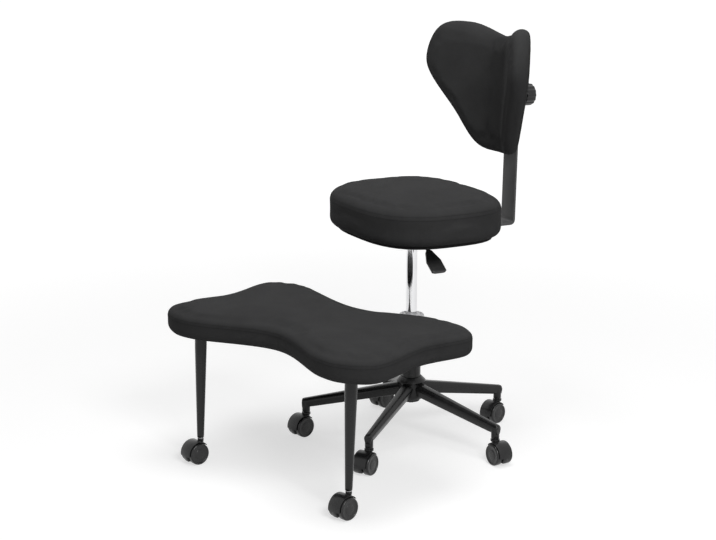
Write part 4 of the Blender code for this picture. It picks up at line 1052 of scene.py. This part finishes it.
def arm_mesh():
    """An arm along +X: a channel, a closed tip and the socket for the caster's stem."""
    open_to = STAR_R - 0.018
    rings = []
    for x in (HUB_R * 0.75, 0.06, 0.10, 0.15, 0.20, open_to):
        outline = eased(arm_outline((x - HUB_R) / (ARM_END - HUB_R)), 0.0030, 2, closed=True)
        rings.append([(x, p.x, p.y) for p in outline])
    channel = loft("channel", rings)
    rings = []
    for x, grow in (
        (open_to - 0.0004, 1.0), (STAR_R, 1.0), (ARM_END - 0.004, 1.0), (ARM_END - 0.001, 0.94),
        (ARM_END, 0.84),
    ):
        outline = eased(arm_outline((x - HUB_R) / (ARM_END - HUB_R))[:6], 0.0030, 3, closed=True)
        middle = sum(outline, Vector((0.0, 0.0))) / len(outline)
        rings.append([
            (x, middle.x + (p.x - middle.x) * grow, middle.y + (p.y - middle.y) * grow) for p in outline
        ])
    tip = loft("tip", rings)
    socket = turned("socket", [
        (STEM_R + GAP, SOCKET_BOTTOM), (0.0105, SOCKET_BOTTOM), (0.0105, 0.0900), (STEM_R + GAP, 0.0900),
    ], sides=36, cut=0.0012)
    socket.transform(Matrix.Translation((STAR_R, 0.0, 0.0)))
    return joined("arm", [channel, tip, socket])


def star_mesh():
    """The base: a flared hub with five arms."""
    hub = turned("hub", [
        (0.0243, 0.111), (0.0300, 0.111), (HUB_R, 0.119), (HUB_R, 0.1545), (0.0395, 0.160), (0.0275, 0.172),
        (0.0254, 0.172),
    ], sides=72, cut=0.0022, steps=3)
    shapes = [hub]
    for k in range(5):
        arm = arm_mesh()
        arm.transform(Matrix.Rotation(radians(FIRST_ARM + 72.0 * k), 4, "Z"))
        shapes.append(arm)
    return joined("star", shapes)


add("star_frame", star_mesh(), BLACK_PAINT, "base", ("star_base",), AT_COLUMN, sharp=42.0)

# Gas lift
TUBE_R = 0.025
TUBE_TOP = 0.336
TUBE_BOTTOM = 0.1045
TUBE_FLOOR = 0.1075
TUBE_BORE_R = 0.0215
TAPER_TOP = 0.172
STOP_Z = 0.262
STOP_R = 0.031
STOP_HEIGHT = 0.010
ROD_HOLE_R = 0.0054
BUSH_HOLE_R = 0.0144
BUSH_R = 0.0212
BUSH_BOTTOM = TUBE_TOP - 0.068
BUSH_TOP = TUBE_TOP + 0.0045
CYLINDER_R = 0.014
CYLINDER_BOTTOM = 0.239
CYLINDER_TAPER = 0.5175
CYLINDER_TOP = 0.5415
VALVE_HOLE_R = 0.0045
VALVE_STEP = 0.530
add("lift_tube", turned("lift_tube", [
    (ROD_HOLE_R, TUBE_BOTTOM), (0.0235, TUBE_BOTTOM), (TUBE_R, TAPER_TOP), (TUBE_R, STOP_Z - STOP_HEIGHT),
    (STOP_R, STOP_Z - STOP_HEIGHT), (STOP_R, STOP_Z), (TUBE_R, STOP_Z), (TUBE_R, TUBE_TOP),
    (TUBE_BORE_R, TUBE_TOP), (TUBE_BORE_R, TUBE_FLOOR), (ROD_HOLE_R, TUBE_FLOOR),
], sides=64, cut=0.0009), BLACK_PAINT, "base", ("gas_tube",), AT_COLUMN)
add("lift_bush", turned("lift_bush", [
    (BUSH_HOLE_R, BUSH_BOTTOM), (BUSH_R, BUSH_BOTTOM), (BUSH_R, TUBE_TOP + GAP), (TUBE_R, TUBE_TOP + GAP),
    (TUBE_R - 0.0030, BUSH_TOP), (BUSH_HOLE_R, BUSH_TOP),
], sides=64, cut=0.0010), GREY_COLLAR, "base", ("guide_bush",), AT_COLUMN)
add("lift_cylinder", turned("lift_cylinder", [
    (ROD_HOLE_R, CYLINDER_BOTTOM), (CYLINDER_R, CYLINDER_BOTTOM), (CYLINDER_R, CYLINDER_TAPER),
    (0.0132, CYLINDER_TOP), (VALVE_HOLE_R, CYLINDER_TOP), (VALVE_HOLE_R, VALVE_STEP),
    (ROD_HOLE_R, VALVE_STEP),
], sides=64, cut=0.0006), CHROME, "seat", ("gas_cylinder",), SEAT_FRAME)
dress(CHROME, "piston_rod")
dress(STEEL, "thrust_bearing", "rod_clip", "valve_button", "lever_pin")

# Footrest frame
SLEEVE_R = 0.033
SLEEVE_TOP = 0.3435
SLEEVE_WAIST_R = SLEEVE_R - 0.0006
SLEEVE_HOLE_R = TUBE_R + RUN
add("footrest_collar", turned("footrest_collar", [
    (SLEEVE_HOLE_R, STOP_Z + GAP), (SLEEVE_R, STOP_Z + GAP), (SLEEVE_R, STOP_Z + 0.006),
    (SLEEVE_WAIST_R, STOP_Z + 0.0066), (SLEEVE_WAIST_R, SLEEVE_TOP - 0.012),
    (SLEEVE_R, SLEEVE_TOP - 0.0114), (SLEEVE_R, SLEEVE_TOP - 0.0060),
    (SLEEVE_R - 0.0028, SLEEVE_TOP - 0.0032), (SLEEVE_HOLE_R, SLEEVE_TOP - 0.0032),
], sides=64, cut=0.0012), GREY_COLLAR, "footrest", ("footrest_sleeve",), AT_COLUMN)
softened("footrest_arm", BLACK_PAINT, 0.0018, 3)
LEG_X = 0.263
LEG_Y = -0.503
LEG_TOP = 0.3367
LEG_LEAN = 0.0333
LEG_HOLE_R = STEM_R + 0.0015
LEG_TOP_R = 0.0150
FLANGE_R = 0.030
FLANGE = 0.004


def leg_mesh():
    """A tapered leg with its flange, whose top leans towards the column."""
    mesh = turned("leg", [
        (LEG_HOLE_R, SOCKET_BOTTOM), (0.0086, SOCKET_BOTTOM), (0.0090, 0.0720), (LEG_TOP_R, LEG_TOP - 0.034),
        (LEG_TOP_R, LEG_TOP - FLANGE), (FLANGE_R, LEG_TOP - FLANGE), (FLANGE_R, LEG_TOP),
        (LEG_HOLE_R, LEG_TOP),
    ], sides=48, cut=0.0008)
    for v in mesh.vertices:
        v.co.y += (v.co.z - SOCKET_BOTTOM) * LEG_LEAN
    return mesh


for side, x in (("left", -LEG_X), ("right", LEG_X)):
    spot = AT_COLUMN @ Matrix.Translation((x, LEG_Y, 0.0))
    add(f"tapered_leg_{side}", leg_mesh(), BLACK_PAINT, "footrest", (f"leg_{side}",), spot)

# Seat plate and its bolts
softened("seat_plate", BLACK_PAINT, 0.0007)
for name in ("seat_bolt_1", "seat_bolt_2", "seat_bolt_3", "seat_bolt_4", "bar_bolt_1", "bar_bolt_2"):
    softened(name, STEEL, 0.0005)

# Release lever
LEVER_Z = 0.5494
LEVER_R = 0.004
PADDLE_FROM = Vector((0.080, 0.0, 0.5246))
PADDLE_TO = Vector((0.140, 0.0, 0.4805))
PADDLE_HALF_WIDTH = (0.0070, 0.0210)
PADDLE_HALF_THICK = (0.0065, 0.0050)
PADDLE_FLARE = 0.50
FINGERS_FROM = 0.55
FINGERS_TO = 0.92
FINGER_PITCH = 0.1233
ACROSS = Vector((0.0, 1.0, 0.0))
lever_path = eased([
    (-0.008, 0.0, LEVER_Z), (0.050, 0.0, LEVER_Z), (0.078, 0.0, 0.526), (0.102, 0.0, 0.5092),
], 0.012, 6)
circle = [(LEVER_R * cos(2 * pi * k / 20), LEVER_R * sin(2 * pi * k / 20)) for k in range(20)]
lever_mesh = swept("lever_bar", lever_path, ACROSS, circle)
add("lever_bar", lever_mesh, BLACK_PAINT, "lever", ("lever_rod",), SEAT_FRAME)


def paddle_mesh():
    """The moulded grip: it widens outwards, with rounded edges and three shallow finger lines."""
    along = (PADDLE_TO - PADDLE_FROM).normalized()
    up = along.cross(ACROSS).normalized()
    up = up if up.z > 0 else -up
    rings = []
    steps = 26
    for k in range(steps + 1):
        share = k / steps
        ease = min(1.0, 0.70 + 4.0 * share, 0.80 + 6.0 * (1 - share))
        wide = between(PADDLE_HALF_WIDTH, min(1.0, share / PADDLE_FLARE)) * ease
        thick = between(PADDLE_HALF_THICK, share) * ease
        if FINGERS_FROM < share < FINGERS_TO:
            thick *= 1.0 - 0.10 * (0.5 - 0.5 * cos(2 * pi * (share - FINGERS_FROM) / FINGER_PITCH))
        ring = []
        for j in range(28):
            angle = 2 * pi * j / 28
            c, s = cos(angle), sin(angle)
            a = wide * abs(c) ** 0.5 * (1 if c > 0 else -1)
            b = thick * abs(s) ** 0.5 * (1 if s > 0 else -1)
            ring.append(PADDLE_FROM.lerp(PADDLE_TO, share) + ACROSS * a + up * b)
        rings.append(ring)
    return loft("paddle", rings)


add("lever_grip", paddle_mesh(), GRIP_PLASTIC, "lever", ("lever_paddle",), SEAT_FRAME)

# Back bar, bracket and clamp knob
BAR_FROM_Y = 0.105
BAR_TOP = 0.985
BAR_BEND = 0.012
KNOB_RIBS = 14
KNOB_R = 0.0280
KNOB_STUD_R = 0.004
upright = Vector((0.0, sin(LEAN), cos(LEAN)))
bar_foot = Vector((0.0, BAR_R, BAR_MIDDLE_Z))
bar_path = eased([
    Vector((0.0, BAR_FROM_Y, BAR_MIDDLE_Z)), bar_foot,
    bar_foot + upright * ((BAR_TOP - BAR_MIDDLE_Z) / cos(LEAN)),
], BAR_BEND, 12)
half_w = BAR_W / 2
half_t = BAR_T / 2
bar_section = eased([
    (-half_w, -half_t), (half_w, -half_t), (half_w, half_t), (-half_w, half_t),
], 0.0012, 3, closed=True)
bar_mesh = swept("back_upright", bar_path, Vector((1.0, 0.0, 0.0)), bar_section)
add("back_upright", bar_mesh, BAR_PAINT, "seat", ("back_bar",), SEAT_FRAME)
softened("back_bracket", BLACK_PAINT, 0.0010)
KNOB_UP = 0.8925 - BAR_MIDDLE_Z
BRACKET_BACK_Y = BAR_T / 2 + RUN + 0.007


def knob_mesh():
    """The clamp knob: a stud, a stepped neck and a hand wheel with rounded ridges, turned about Y."""
    neck = BRACKET_BACK_Y + GAP
    head = neck + 0.016
    back = head + 0.030
    rows = [
        (BAR_T / 2 + GAP, KNOB_STUD_R, 0.0), (neck, KNOB_STUD_R, 0.0), (neck, 0.0120, 0.0),
        (neck + 0.001, 0.013, 0.0), (head - 0.002, 0.013, 0.0), (head, 0.0150, 0.0), (head, 0.0262, 0.4),
        (head + 0.0012, 0.0278, 1.0), (head + 0.004, KNOB_R, 1.0), (back - 0.006, KNOB_R, 1.0),
        (back - 0.0025, 0.0270, 0.9), (back - 0.0006, 0.0245, 0.3), (back, 0.0225, 0.0), (back, 0.0150, 0.0),
        (back - 0.0012, 0.0142, 0.0), (back - 0.0012, 0.0010, 0.0),
    ]
    count = KNOB_RIBS * 8
    rings = []
    for y, radius, ribs in rows:
        ring = []
        for k in range(count):
            angle = 2 * pi * k / count
            here = radius + 0.0010 * ribs * cos(KNOB_RIBS * angle)
            ring.append((here * cos(angle), y, here * sin(angle)))
        rings.append(ring)
    return loft("knob", rings)


knob_place = BACK_FRAME @ Matrix.Translation((0.0, 0.0, KNOB_UP))
add("clamp_knob", knob_mesh(), BLACK_PLASTIC, "knob", ("back_knob",), knob_place)
